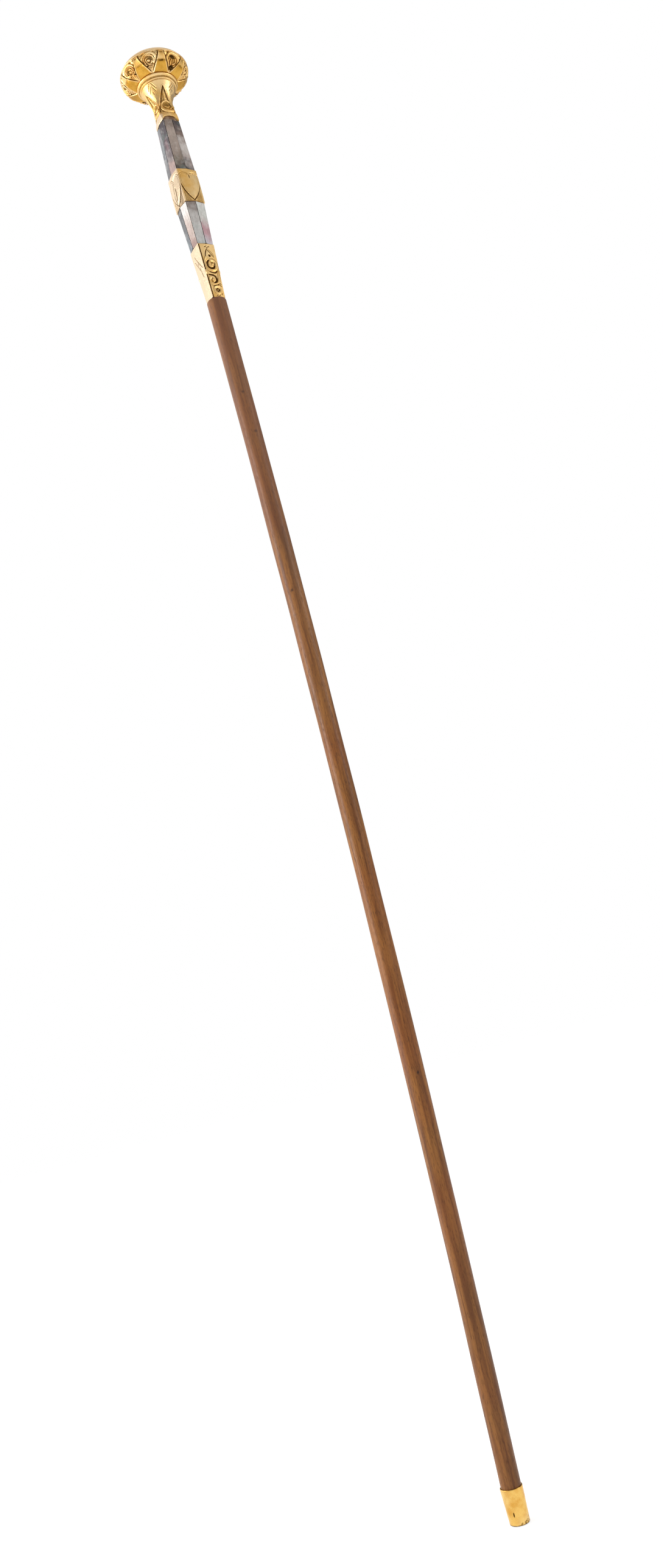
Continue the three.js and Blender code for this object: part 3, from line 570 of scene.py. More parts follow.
# %% The scrolls of the knob
PANEL_GROUND = -0.9
PETALS = 8
KNOB_TURN = radians(11)
WHORL = [(-2.5, 5.5), (-4.2, 6.6), (-4.9, 8.4), (-4.2, 10.5), (-2.2, 12.0), (0.5, 12.4), (3.1, 11.6)]
WHORL += [(4.5, 9.7), (4.1, 7.8), (2.8, 6.5)]
WHORL_BANDS = (
    (WHORL, (0.8, 1.15), 1.25),
    ([(2.6, 10.2), (3.0, 8.7), (2.3, 7.2), (1.1, 6.5)], (0.5, 0.55), 1.0),
    ([(-1.6, 6.9), (-0.9, 6.1), (0.4, 5.9), (1.3, 6.6), (1.5, 7.4)], (0.36, 0.42), 0.95),
    ([(-3.8, 5.9), (-2.8, 5.3), (-1.7, 5.2)], (0.4, 0.36), 0.8),
    ([(-2.9, 4.7), (-2.2, 4.3), (-1.3, 4.3)], (0.34, 0.3), 0.7),
    ([(1.2, 5.0), (0.1, 5.2), (-1.1, 5.6)], (0.44, 0.32), 0.95),
    ([(1.0, 4.1), (-0.1, 4.3), (-1.2, 4.8)], (0.42, 0.3), 0.9),
    ([(0.7, 3.2), (-0.3, 3.4), (-1.1, 3.9)], (0.38, 0.28), 0.85),
    ([(0.4, 2.4), (-0.3, 2.6), (-0.8, 3.0)], (0.32, 0.24), 0.75),
    ([(-1.9, 7.4), (-2.2, 8.6), (-1.5, 9.7)], (0.5, 0.5), 0.75),
)
WHORL_LEAVES = [(-3.0, 6.8), (-3.5, 8.5), (-2.9, 10.1), (-1.0, 11.1), (1.2, 10.9), (2.5, 9.9)]
HOOD = [(-2.6, 5.8), (-3.7, 7.8), (-3.7, 9.8), (-2.4, 11.6), (0.2, 12.4), (2.7, 11.8), (4.4, 10.1)]
HOOD += [(4.7, 8.1), (4.0, 6.1), (2.8, 5.0)]
SHELL_BANDS = (
    (HOOD, (1.25, 1.0), 1.25),
    ([(-0.5, 1.6), (-1.5, 3.8), (-2.6, 5.9)], (0.24, 0.42), 1.0),
    ([(-2.1, 8.6), (-2.4, 7.4), (-2.0, 5.8)], (0.45, 0.6), 0.95),
    ([(-0.8, 8.5), (-0.9, 7.2), (-0.5, 5.7)], (0.5, 0.6), 1.1),
    ([(2.2, 9.3), (2.7, 7.8), (2.1, 6.4), (0.9, 5.9)], (0.45, 0.6), 1.05),
    ([(0.7, 8.4), (0.8, 7.6), (0.9, 7.0)], (0.4, 0.4), 0.8),
    ([(-2.2, 5.1), (-1.2, 4.6), (-0.1, 4.9), (1.0, 4.5), (2.0, 4.8), (2.9, 4.9)], (0.45, 0.5), 1.1),
)


def scroll(u, v, bands):
    """Round bands, and two flat leaves in the upper corners of the panel, where the scroll leaves room."""
    height = highest(0 * u, u, v, bands)
    height = np.maximum(height, dome(u, v, (-6.6, 12.0), (3.0, 2.3), 0.8))
    return np.maximum(height, dome(u, v, (6.4, 12.2), (2.7, 3.0), 0.85))


def whorl_scroll(u, v):
    """A snail-like whorl round a boss and a deep eye, with a tail of small leaves below."""
    height = np.maximum(scroll(u, v, WHORL_BANDS), rope(u, v, WHORL_LEAVES, (0.62, 0.62), 1.1, 0.85))
    for k in range(6):
        bead = dome(u, v, (2.55 - 0.43 * k, 5.9 - 0.85 * k), (0.58 - 0.05 * k, 0.55), 1.2)
        height = np.maximum(height, bead)
    height = np.maximum(height, dome(u, v, (-0.4, 7.9), (1.15, 1.0), 1.2))
    return height + dome(u, v, (0.9, 9.1), (1.3, 1.0), -0.35) + dome(u, v, (-2.0, 4.9), (0.5, 0.4), -0.4)


def shell_scroll(u, v):
    """A broad hood over a dark arch, with fingers hanging under it and a deep three-cornered pit below."""
    height = scroll(u, v, SHELL_BANDS)
    return height + dome(u, v, (0.0, 10.2), (2.0, 1.0), -0.35) + dome(u, v, (0.5, 3.4), (1.8, 2.0), -0.7)


print("Bands in a whorl and in a shell:", len(WHORL_BANDS), len(SHELL_BANDS))

# %% [markdown]
# A petal has a fine raised border with a dark groove beside it, a slightly dished face and a crease across,
# near its tip. The edge between petal and panel follows one curve from ring to lip, and the columns of the
# grid are bent along that curve, because an edge that cuts across a straight grid would come out as steps.
# A sector is worked out for each sort of panel, and eight sectors go round the knob.

# %% The knob shell
shell_foot, shell_top, mouth_radius, _ = measure("knob_shell")
KNOB_RADIUS = 22.0
KNOB_HALF_HEIGHT = 10.0
KNOB_WALL = 1.7
MOUTH_TILT = -acos(mouth_radius / KNOB_RADIUS)
knob_middle = shell_foot - KNOB_HALF_HEIGHT * sin(MOUTH_TILT)
CROWN_TILT = np.arcsin((shell_top - knob_middle) / KNOB_HALF_HEIGHT)
PETAL_RISE = 0.35
CREASE_LEVEL = 7.1
# How strong the painted shade in each petal's crease is, petal by petal round the knob.
CREASE_PAINTED_SHADE = (0.3, 0.2, 0.35, 0.25, 0.3, 0.75, 0.45, 0.3)
HALF_SECTOR = pi / PETALS
SHELL_DIRT = 0.5
PIT_DIRT = 0.9
PANEL_STEPS, PETAL_STEPS, SHELL_ROWS = 88, 44, 132


def knob_point(tilt, angle, grow):
    """A point on the flattened ball, moved out by grow."""
    level = knob_middle + (KNOB_HALF_HEIGHT + grow) * np.sin(tilt)
    return polar((KNOB_RADIUS + grow) * np.cos(tilt), angle, level)


def petal_relief(from_edge, from_middle, half_petal, height):
    """A fine border, a slightly dished face, a crease across it and a notch over the crease."""
    crease = -0.25 * hump(height, CREASE_LEVEL, 0.9) - 0.1 * smooth(height, CREASE_LEVEL, 8.6)
    dish = -0.2 * hump(from_middle, 0, half_petal)
    border = 0.24 * hump(from_edge, 0.48, 0.4)
    notch = dome(from_middle, height, (0.0, 12.0), (1.3, 0.55), -0.7) * (from_edge > 0.1)
    return PETAL_RISE + crease + dish + border + notch


tilt = np.linspace(MOUTH_TILT, CROWN_TILT, SHELL_ROWS + 1)
arc = np.hypot(np.diff(KNOB_RADIUS * np.cos(tilt)), np.diff(KNOB_HALF_HEIGHT * np.sin(tilt)))
row_share = np.linspace(0, 1, SHELL_ROWS + 1)[:, None]
edge_share = mix(0.02, 0.8, np.sin(row_share * pi / 2) ** 0.8)
panel_columns = edge_share * np.linspace(-1, 1, PANEL_STEPS, endpoint=False)
petal_columns = edge_share + (1 - edge_share) * np.linspace(0, 2, PETAL_STEPS, endpoint=False)
columns = np.hstack([panel_columns, petal_columns])
row_radius = KNOB_RADIUS * np.cos(tilt)[:, None]
half_width = HALF_SECTOR * row_radius
across = np.where(columns > 1, columns - 2, columns) * half_width
height = np.concatenate([[0], np.cumsum(arc)])[:, None] + 0 * across
from_edge = np.abs(across) - edge_share * half_width
half_petal = np.maximum((1 - edge_share) * half_width, 0.1)
on_petal = smooth(from_edge, -0.2, 0.16)
from_middle = np.abs(across) - half_width
petal = petal_relief(from_edge, from_middle, half_petal, height)


def pit_stain(u, *pits):
    """Dirt in the deepest pits of a panel. Each has its centre, its half widths and how dark it is."""
    return (1 - on_petal) * sum(np.clip(1.8 * dome(u, height, *pit), 0, pit[2]) for pit in pits)


def sector(carved):
    """The height of one sector of the knob, with the given scroll carved in its panel."""
    body = (PANEL_GROUND + carved * smooth(-from_edge, 0.0, 0.45)) * smooth(row_share, 0, 0.45)
    return mix(body, petal, on_petal) * window(row_share, 0, 0.03, 0.95, 1)


WHORL_PITS = ((0.9, 9.2), (1.4, 1.1), 0.75), ((-2.0, 4.9), (0.7, 0.6), 0.9)
SHELL_PITS = ((0.0, 10.2), (2.3, 1.2), 1.0), ((0.4, 3.5), (2.0, 1.8), 1.0)
mirrored = sector(whorl_scroll(-across, height)), pit_stain(-across, *WHORL_PITS)
whorl = sector(whorl_scroll(across, height)), pit_stain(across, *WHORL_PITS)
shell = sector(shell_scroll(across, height)), pit_stain(across, *SHELL_PITS)
relief, pits = (np.hstack(half * 2) for half in zip(mirrored, whorl, shell, whorl))
# Painted shade along each petal's crease, strongest on the petal nearest the camera.
crease_painted_shade = on_petal * (0.3 + 0.7 * bell(from_middle, 0, 1.8)) * bell(height, 7.2, 0.7)
edge_stain = 0.7 * bell(from_edge, -0.35, 0.35) * smooth(height, 0.5, 2.0)
# The matt petal faces, less above the crease; their darker gold is partly painted shade.
satin_and_painted_shade = smooth(from_edge, 0.6, 0.9) * (1 - 0.7 * smooth(height, 6.8, 8.4))
turns = KNOB_TURN + 2 * HALF_SECTOR * np.arange(PETALS)
angles = np.hstack([turn + columns * HALF_SECTOR for turn in turns])


def knob_shell():
    tilts = tilt[:, None] + 0 * angles
    outside = knob_point(tilts, angles, relief)
    back = slice(None, None, -SHELL_ROWS // 11)
    inside = knob_point(tilts[back], angles[back], -KNOB_WALL)
    inside[..., 2] = np.maximum(inside[..., 2], shell_foot)
    inside[0, :, 2] = shell_top
    plain = 0 * angles[back]
    # Dirt beside the petal borders, with the painted shade in the creases.
    dirt = np.hstack([np.maximum(edge_stain, share * crease_painted_shade) for share in CREASE_PAINTED_SHADE])
    hollow = np.maximum(np.maximum(SHELL_DIRT * hollowness(relief), dirt), PIT_DIRT * pits)
    marks = {"hollow": np.vstack([hollow, plain]), "satin_and_painted_shade": np.vstack([np.tile(satin_and_painted_shade, PETALS), plain])}
    return skin("knob_shell_chased", np.concatenate([outside, inside]), True, **marks)


dress(knob_shell(), gilt, "gilt", "knob_shell")

# %% [markdown]
# The crown closes the knob. It is spun from sheet: a low dome whose edge is rolled into a lip over the tips
# of the petals. A turned piece needs only its profile, so the dome follows the same flattened ball as the
# petals.

# %% The crown
CROWN_WALL = 0.8
CROWN_LIP = 0.35
CROWN_CLEARANCE = 0.02
CROWN_PALE = 0.3
ROUND_STEPS = 256


def dome_line(first, last, count, grow):
    """A profile along the flattened ball between two tilts, moved out by grow."""
    radius, tall = KNOB_RADIUS + grow, KNOB_HALF_HEIGHT + grow
    return [(radius * cos(t), knob_middle + tall * sin(t)) for t in np.linspace(first, last, count)]


def crown():
    foot, top, _, _ = measure("knob_crown")
    edge_tilt = np.arcsin((foot - knob_middle) / KNOB_HALF_HEIGHT)
    edge = KNOB_RADIUS * cos(edge_tilt)
    inside = dome_line(pi / 2 - 0.01, edge_tilt, 24, -CROWN_WALL)
    inside = [(r, max(z, foot)) for r, z in inside]
    lip_middle = foot + CROWN_LIP * 1.1
    lip = [
        (edge - CROWN_LIP * 0.4 + CROWN_LIP * 1.4 * cos(a), lip_middle + CROWN_LIP * 1.1 * sin(a))
        for a in np.linspace(-pi / 2, pi / 2 * 0.8, 10)
    ]
    grow = top - knob_middle - KNOB_HALF_HEIGHT - CROWN_CLEARANCE
    outside = dome_line(edge_tilt + 0.09, pi / 2 - 0.045, 72, grow)
    rings = round_rings(inside + lip + outside, ROUND_STEPS)
    return skin("knob_crown_spun", rings, False, pale=np.full(rings.shape[:2], CROWN_PALE))


dress(crown(), gilt, "gilt", "knob_crown")

# %% [markdown]
# Under the knob a turned ring hides the joint with the neck. It has a bead at each edge and a worn channel
# between them. A little dirt in the channel sets the two beads apart.

# %% The neck ring
RING_ROWS = 36
BEAD_PROFILE = ((-0.1, 0.0), (0.65, 0.1), (0.75, 0.22), (0.55, 0.33), (1.0, 0.45))
EDGE_PROFILE = ((-0.35, 0.62), (0, 0.8), (-0.1, 0.95), (-0.5, 1.0))


def neck_ring():
    foot, top, _, _ = measure("neck_ring")
    sleeve_radius = measure("neck_sleeve")[3]
    points = in_handle(points_of("neck_ring"))
    reach = np.hypot(points[:, 0], points[:, 1])
    bead = [(sleeve_radius + r, z) for r, z in BEAD_PROFILE]
    edge = [(reach.max() + r, z) for r, z in EDGE_PROFILE]
    profile = [(r, foot + (top - foot) * np.clip(z, 0, 1)) for r, z in curve(bead + edge, RING_ROWS)]
    rings = round_rings(profile + [(reach.min(), top), (reach.min(), foot)], ROUND_STEPS)
    channel = 0.5 * bell(np.linspace(0, 1, RING_ROWS), 0.42, 0.12)[:, None] * np.ones(ROUND_STEPS)
    return skin("neck_ring_turned", rings, True, hollow=np.pad(channel, ((0, 2), (0, 0))))


dress(neck_ring(), gilt, "gilt", "neck_ring")

# %% [markdown]
# The neck is square at its foot and round under the ring. Four plain leaves hang over its corners, each
# with a few cut veins, and the sunk wedge between two leaves holds a comma-shaped scroll with an oval eye.
# The whole neck is turned a little against the grip, as the real one is, so each ring of the skin is turned
# by its level.

# %% The neck sleeve
COLLAR_RIDGE = 0.8
EIGHTH = pi / 4
# Where the painted highlight on the lamp side of each collar begins and where it is full.
PAINTED_HIGHLIGHT_SIDE = (0.64, 0.76)
NECK_WALL = 1.2
NECK_DIRT = 0.68
NECK_GROUND = -0.5
NECK_LEAF_RISE = 0.3
NECK_WAIST_LEVEL = 9.0
NECK_WAIST_RADIUS = 6.7
LEAF_TIP_SHARE = 0.183
WEDGE_TIP_SHARE = 0.864
TWIST_FOOT = radians(-3)
TWIST_TOP = radians(-10)
rim_foot, rim_top, _, _ = measure("neck_rim")
neck_foot, neck_top, neck_corner, neck_round = measure("neck_sleeve")
neck_length = neck_top - neck_foot


def twist(level):
    """How far the rim and the neck are turned at a level of the handle."""
    return mix(TWIST_FOOT, TWIST_TOP, np.clip((level - rim_foot) / (rim_top - rim_foot), 0, 1))


def chased_sleeve(
    node, work, rows, steps, radius_at, relief_at, wall, foot_at=None, twist_at=None, dirt=1.0, pale=0.9
):
    """Makes and dresses a tube with a carved outside and a plain bore. Levels count from its own foot."""
    foot, top, _, _ = measure(node)
    angle, share = np.meshgrid(turned(steps), np.linspace(0, 1, rows + 1))
    lift = 0 * angle if foot_at is None else foot_at(angle)
    level = mix(lift, top - foot, share)
    relief = relief_at(angle, level)
    bore_level = level[:: -(rows // 4)]
    bore_angle = angle[: len(bore_level)]
    radius = np.vstack([radius_at(level, angle) + relief, radius_at(bore_level, bore_angle) - wall])
    levels = foot + np.vstack([level, bore_level])
    angles = np.vstack([angle, bore_angle])
    if twist_at is not None:
        angles = angles + twist_at(levels)
    hollow = np.vstack([dirt * hollowness(relief), 0 * bore_level])
    # A painted highlight: the gold is paled on the side of the collar that faces the lamps.
    rubbed_and_painted_highlight = pale * smooth(-np.cos(angles), *PAINTED_HIGHLIGHT_SIDE)
    sleeve = skin(f"{node}_{work}", polar(radius, angles, levels), True, hollow=hollow, pale=rubbed_and_painted_highlight)
    return dress(sleeve, gilt, "gilt", node)


def neck_radius(level, angle):
    share = level / neck_length
    waist = NECK_WAIST_LEVEL / neck_length
    drawn_in = mix(neck_corner, NECK_WAIST_RADIUS, smooth(share, 0, waist))
    flare = np.clip((share - waist) / (1 - waist), 0, 1) ** 1.6
    corner = drawn_in + (neck_round - NECK_WAIST_RADIUS) * flare
    return section(corner, COLLAR_RIDGE, angle, smooth(share, 0, 0.75))


NECK_BANDS = (
    ([(-2.7, 7.6), (-3.1, 5.8), (-2.6, 3.9), (-1.0, 2.5), (1.4, 1.9), (4.0, 2.2)], (0.9, 1.35), 0.85),
    ([(-2.7, 7.4), (-1.1, 8.8), (1.1, 9.3), (3.4, 8.6)], (0.6, 0.6), 0.6),
    ([(2.9, 3.9), (4.0, 4.8), (4.4, 6.2), (3.6, 8.0)], (0.5, 0.6), 0.5),
    ([(-1.0, 5.6), (0.1, 4.9), (1.5, 4.9), (2.5, 5.6)], (0.4, 0.4), 0.35),
    ([(0.1, 16.4), (0.0, 13.4), (0.4, 10.6)], (0.2, 0.8), 0.4),
)
VEIN_LINES = [[(0.6, 20.6), (2.7, 17.2)], [(0.3, 18.6), (2.2, 15.4)], [(0.02, 15.8), (0.03, 14.0)]]
LEAF_VEINS = [(line, 0.34, 0.34) for line in VEIN_LINES]
PUNCH_SIZE = 0.34
PUNCH_DEPTH = 0.08
PUNCH_MARKS = rng.uniform((-7.5, 0.8), (7.5, 18.5), (900, 2))


def neck_scroll(u, v):
    """A broad crescent that sweeps under an oval eye, with a fine ring over the eye and a feather above."""
    return highest(0 * u, u, v, NECK_BANDS) + dome(u, v, (0.9, 6.8), (2.5, 1.7), -0.5)


def neck_relief(angle, level):
    off = off_side(angle)
    radius = neck_radius(level, angle)
    share = level / neck_length
    half = np.clip((WEDGE_TIP_SHARE - share) / (WEDGE_TIP_SHARE - LEAF_TIP_SHARE), 0, 1) * pi / 4
    from_edge = (np.abs(off) - half) * radius
    from_edge = from_edge + 0.85 * smooth(share, WEDGE_TIP_SHARE - 0.03, WEDGE_TIP_SHARE + 0.02)
    u = np.sin(off) * radius
    comma = neck_scroll(u, level)
    marks = punched(u, level, PUNCH_MARKS, PUNCH_SIZE, PUNCH_DEPTH) * (1 - smooth(comma, 0.0, 0.2))
    panel = NECK_GROUND + comma + marks * smooth(comma, -0.15, 0.0)
    leaf = NECK_LEAF_RISE + 0.14 * hump(from_edge, 0.4, 0.35)
    leaf = cut(leaf, np.abs(np.abs(off) - EIGHTH) * radius, level, LEAF_VEINS)
    relief = mix(panel, leaf, smooth(from_edge, -0.3, 0.2)) - 0.2 * hump(from_edge, -0.4, 0.45)
    relief = mix(0.05, relief, smooth(level, 0.7, 1.3)) - 0.3 * hump(level, 0.7, 0.3)
    return relief * window(level, 0.0, 0.3, neck_length * 0.975, neck_length)


neck_look = {"twist_at": twist, "dirt": NECK_DIRT, "pale": 0.0}
chased_sleeve("neck_sleeve", "chased", 200, 480, neck_radius, neck_relief, NECK_WALL, **neck_look)

# %% [markdown]
# The rim below the neck is plain. On two opposite sides its lower edge arches up over the ends of the
# pearl, and the brown bed that holds the slips shows in the gap. The same tube is used, with its foot
# lifted on those sides.

# %% The neck rim
RIM_ARCH = 2.75
RIM_ARCH_POWER = 3
COLLAR_WALL = 0.8


def tapered(node, ridge_share, swell=0.0):
    """A collar's length, and its radius at any level and angle, from the corners at its foot and top."""
    foot, top, low_corner, high_corner = measure(node)

    def radius_at(level, angle):
        share = level / (top - foot)
        return section(mix(low_corner, high_corner, share) + swell * np.sin(pi * share), ridge_share, angle)

    return top - foot, radius_at


rim_length, rim_radius = tapered("neck_rim", COLLAR_RIDGE)


def arched_side(angle):
    """One on the two sides whose rim is arched, which are also the sides of the socket with volutes."""
    return np.round(angle / QUARTER).astype(int) % 2


def rim_lift(angle):
    return RIM_ARCH * arched_side(angle) * (1 - np.abs(np.tan(off_side(angle))) ** RIM_ARCH_POWER)


def rim_relief(angle, level):
    foot_edge = 1 - smooth(level - rim_lift(angle), 0.0, 0.3)
    rounded = -0.22 * foot_edge - 0.12 * smooth(level, rim_length - 0.25, rim_length)
    return rounded + 0.12 * np.sin(pi * np.clip(level / rim_length, 0, 1))


chased_sleeve("neck_rim", "plain", 32, 480, rim_radius, rim_relief, COLLAR_WALL, rim_lift, twist)

# %% [markdown]
# Each side of the waist band carries a smooth heart that stands on its point. Its outline is two arcs over
# two nearly straight sides. The heart stands proud, a groove runs round it that is deep beside the point
# and fades over the lobes, and the sunk corners below are scored with close upright lines.

# %% The heart band
BAND_SWELL = 0.15
HEART_EDGE = 0.08
HEART_RISE = 0.3
HEART_ROUNDING = 2.0
SCORE_PITCH = 0.62
band_length, band_radius = tapered("heart_band", COLLAR_RIDGE, BAND_SWELL)

# The right half of the heart, from its point up round the lobe to the notch, and the left half mirrored.
right_half = [(0.0, 1.3), (1.7, 3.2), (3.1, 5.0), (4.7, 7.7), (5.9, 10.6), (6.5, 13.4), (6.7, 16.2)]
right_half += [(6.3, 18.6), (5.2, 20.3), (3.4, 20.8), (1.6, 20.2), (0.3, 18.9)]
right_half = curve(right_half, 120)
HEART = np.vstack([right_half, (right_half * (-1, 1))[::-1]])
NOTCH = [(0.15, 18.9), (0.1, 17.6), (0.05, 16.4)]
FLUTES = (
    ([(-0.3, 17.2), (-1.1, 12.0), (-1.7, 7.4), (-0.7, 3.2)], 0.6, 0.5),
    ([(1.1, 13.0), (1.0, 9.0), (0.3, 4.6)], 0.45, 0.4),
)


def inside_outline(u, v, line):
    """Whether each place lies inside a closed line, by counting the edges to its right."""
    inside = np.zeros(u.shape, bool)
    for (x0, y0), (x1, y1) in zip(line, np.roll(line, -1, 0)):
        if y0 == y1:
            continue
        crosses = (y0 > v) != (y1 > v)
        inside ^= crosses & (u < (x1 - x0) * (v - y0) / (y1 - y0) + x0)
    return inside


def band_relief(angle, level):
    """The heart and its ground. The two sides that the rim doesn't arch over have two flutes in the heart."""
    off = off_side(angle)
    beside = np.abs(off)
    u = np.sin(off) * band_radius(level, angle)
    gap = nearest(u, level, HEART)[0]
    depth = np.where(inside_outline(u, level, HEART), gap, -gap)
    low = 1 - smooth(level, 10.0, 15.0)
    heart = HEART_EDGE + HEART_RISE * (1 - np.exp(-np.clip(depth, 0, 9) / HEART_ROUNDING))
    heart = heart - 0.14 * hump(depth, 0.75, 0.3) * (1 - 0.7 * low) + groove(u, level, NOTCH, 0.42, 0.4)
    scored = 0.09 * np.sin(u * 2 * pi / SCORE_PITCH) * (1 - smooth(level, 7.0, 12.0))
    scored = scored * smooth(np.abs(u), 1.4, 2.6)
    ground = mix(0.05, -0.3 + scored, low) * (1 - smooth(beside, EIGHTH * 0.86, EIGHTH * 0.97))
    relief = mix(ground, heart, smooth(depth, -0.25, 0.2)) - hump(depth, -0.2, 0.4) * mix(0.16, 0.34, low)
    relief = relief * (1 - smooth(beside, EIGHTH * 0.93, EIGHTH))
    corner_pit = hump(level, 19.4, 0.9) * smooth(beside, EIGHTH * 0.9, EIGHTH * 0.99)
    relief = (relief - 0.15 * corner_pit) * window(level, 0.0, 0.5, band_length - 0.3, band_length)
    return relief + cut(0 * u, u, level, FLUTES) * (1 - arched_side(angle))


chased_sleeve("heart_band", "chased", 140, 448, band_radius, band_relief, COLLAR_WALL)

# %% [markdown]
# The socket collar takes the top of the shaft. Two of its sides carry three volutes that shrink towards the
# wood, under a drop shape with a dark pit. The two others are polished, with a leaf cut in a few slanted
# strokes. A dark line runs down one edge of each side with volutes, and a small bead sits halfway up each
# corner.

# %% The socket collar
SOCKET_RIDGE = 0.76
SOCKET_STEPS = 384
CORNER_BEAD_LEVEL = 17.4
VOLUTE_1 = [(-2.4, 27.4), (-3.7, 25.0), (-4.0, 22.0), (-3.0, 19.5), (-0.6, 18.3), (2.3, 18.8), (3.8, 20.8)]
VOLUTE_1 += [(3.6, 23.4), (2.2, 25.0), (0.5, 25.2)]
VOLUTE_2 = [(3.7, 17.0), (3.6, 13.8), (2.9, 10.8), (1.1, 9.0), (-1.2, 8.6), (-3.1, 9.8), (-3.5, 11.9)]
VOLUTE_2 += [(-2.7, 13.6)]
VOLUTE_3 = [(2.7, 7.2), (0.5, 7.5), (-1.5, 6.6), (-2.1, 4.8), (-1.3, 3.0), (0.7, 2.4), (2.4, 3.3), (2.9, 5.0)]
VOLUTES = ((VOLUTE_1, (0.8, 1.15), 0.4), (VOLUTE_2, (0.7, 1.05), 0.38), (VOLUTE_3, (0.5, 0.65), 0.32))
SOCKET_GROOVES = (
    ([(-3.4, 25.2), (-4.0, 22.4), (-3.1, 19.8)], 0.16, 0.2),
    ([(-1.2, 25.4), (-2.3, 23.6), (-2.0, 21.3), (-0.5, 20.0), (1.7, 20.3), (2.6, 21.6)], 1.0, 0.6),
    ([(2.6, 24.0), (2.9, 22.8), (2.3, 21.8)], 0.4, 0.4),
    ([(-2.2, 17.4), (-0.2, 16.8), (2.0, 16.9), (3.6, 18.1)], 0.5, 0.5),
    ([(-3.4, 15.6), (-1.4, 15.4), (0.8, 14.8), (1.8, 12.9), (1.4, 10.9), (-0.6, 9.8)], 1.0, 0.6),
    ([(2.9, 8.9), (0.8, 8.2), (-1.6, 7.6)], 0.4, 0.4),
    ([(-0.5, 33.4), (-1.8, 30.9), (-2.7, 27.9)], 0.42, 0.38),
    ([(-0.3, 32.6), (1.4, 30.5), (3.5, 27.9)], 0.42, 0.4),
    ([(0.7, 32.8), (2.3, 31.0), (3.9, 29.0)], 0.26, 0.26),
    ([(3.3, 9.9), (4.2, 8.9)], 0.32, 0.32),
    ([(3.1, 8.6), (4.0, 7.5)], 0.32, 0.32),
    ([(2.8, 1.6), (3.7, 2.7)], 0.3, 0.3),
    ([(-1.6, 1.4), (-0.2, 0.6)], 0.26, 0.25),
    ([(1.6, 1.4), (0.3, 0.6)], 0.26, 0.25),
)
SOCKET_DOMES = (
    ((0.7, 5.0), (1.8, 1.6), -0.55),
    ((1.0, 22.3), (0.95, 0.95), 0.6),
    ((-1.2, 11.8), (0.85, 0.85), 0.6),
    ((0.6, 5.0), (0.6, 0.6), 0.6),
    ((0.6, 28.7), (1.0, 1.1), -0.55),
    ((-1.1, 35.0), (0.6, 0.45), -0.35),
    ((1.2, 34.9), (0.6, 0.45), -0.35),
    ((0.1, 34.0), (0.6, 0.45), -0.35),
)
STROKE_LINES = [[(-2.5, 32.6), (0.4, 27.0), (3.4, 21.2)], [(-3.6, 29.6), (-1.2, 25.0), (0.8, 20.8)]]
STROKE_LINES += [[(-0.2, 26.6), (0.1, 24.6)], [(0.9, 22.6), (1.3, 19.0), (1.9, 15.4)]]
LEAF_STROKES = [(line, 0.34, 0.26) for line in STROKE_LINES]
socket_length, socket_radius = tapered("socket_collar", SOCKET_RIDGE)


def volute_side(u, v):
    height = highest(-0.32 * window(v, 1.5, 3.0, 25.0, 28.0), u, v, VOLUTES)
    return cut(height, u, v, SOCKET_GROOVES) + sum(dome(u, v, *boss) for boss in SOCKET_DOMES)


def socket_relief(angle, level):
    off = off_side(angle)
    radius = socket_radius(level, angle)
    u = np.sin(off) * radius
    volutes = arched_side(angle) == 1
    narrow = radius / socket_radius(socket_length, angle)
    leaf = cut(0 * u, u, level, LEAF_STROKES)
    relief = np.where(volutes, volute_side(u / narrow**0.5, level), leaf)
    relief = relief * (1 - smooth(np.abs(off), EIGHTH * 0.88, EIGHTH * 0.98))
    from_corner = (EIGHTH - np.abs(off)) * radius
    from_bead = np.abs(level - CORNER_BEAD_LEVEL)
    line = -0.42 * hump(from_corner, 0.35, 0.32) * (volutes & (off < 0)) * smooth(from_bead, 1.2, 2.0)
    bead = 0.3 * np.clip(1 - (from_corner / 0.7) ** 2 - (from_bead / 1.4) ** 2, 0, 1)
    return (relief + line + bead) * window(level, 0.0, 0.3, socket_length - 0.2, socket_length)


dirt = 0.55 + 0.75 * arched_side(turned(SOCKET_STEPS))
chased_sleeve(
    "socket_collar", "chased", 196, SOCKET_STEPS, socket_radius, socket_relief, COLLAR_WALL, dirt=dirt
)

# %% [markdown]
# Mother-of-pearl is built of thin layers, so each slip has its own soft bands of grey, lilac, cream and
# brown, and a silky gloss. One finish with a ramp of tones along the slip would be too regular. The ramp is
# therefore bent by noise, crossed by fine growth lines, and veiled with patches of white, pink and green.

# %% Mother-of-pearl
PEARL_GLOSS = {"Roughness": 0.26, "Specular IOR Level": 0.5, "Coat Weight": 0.12, "Coat Roughness": 0.15}


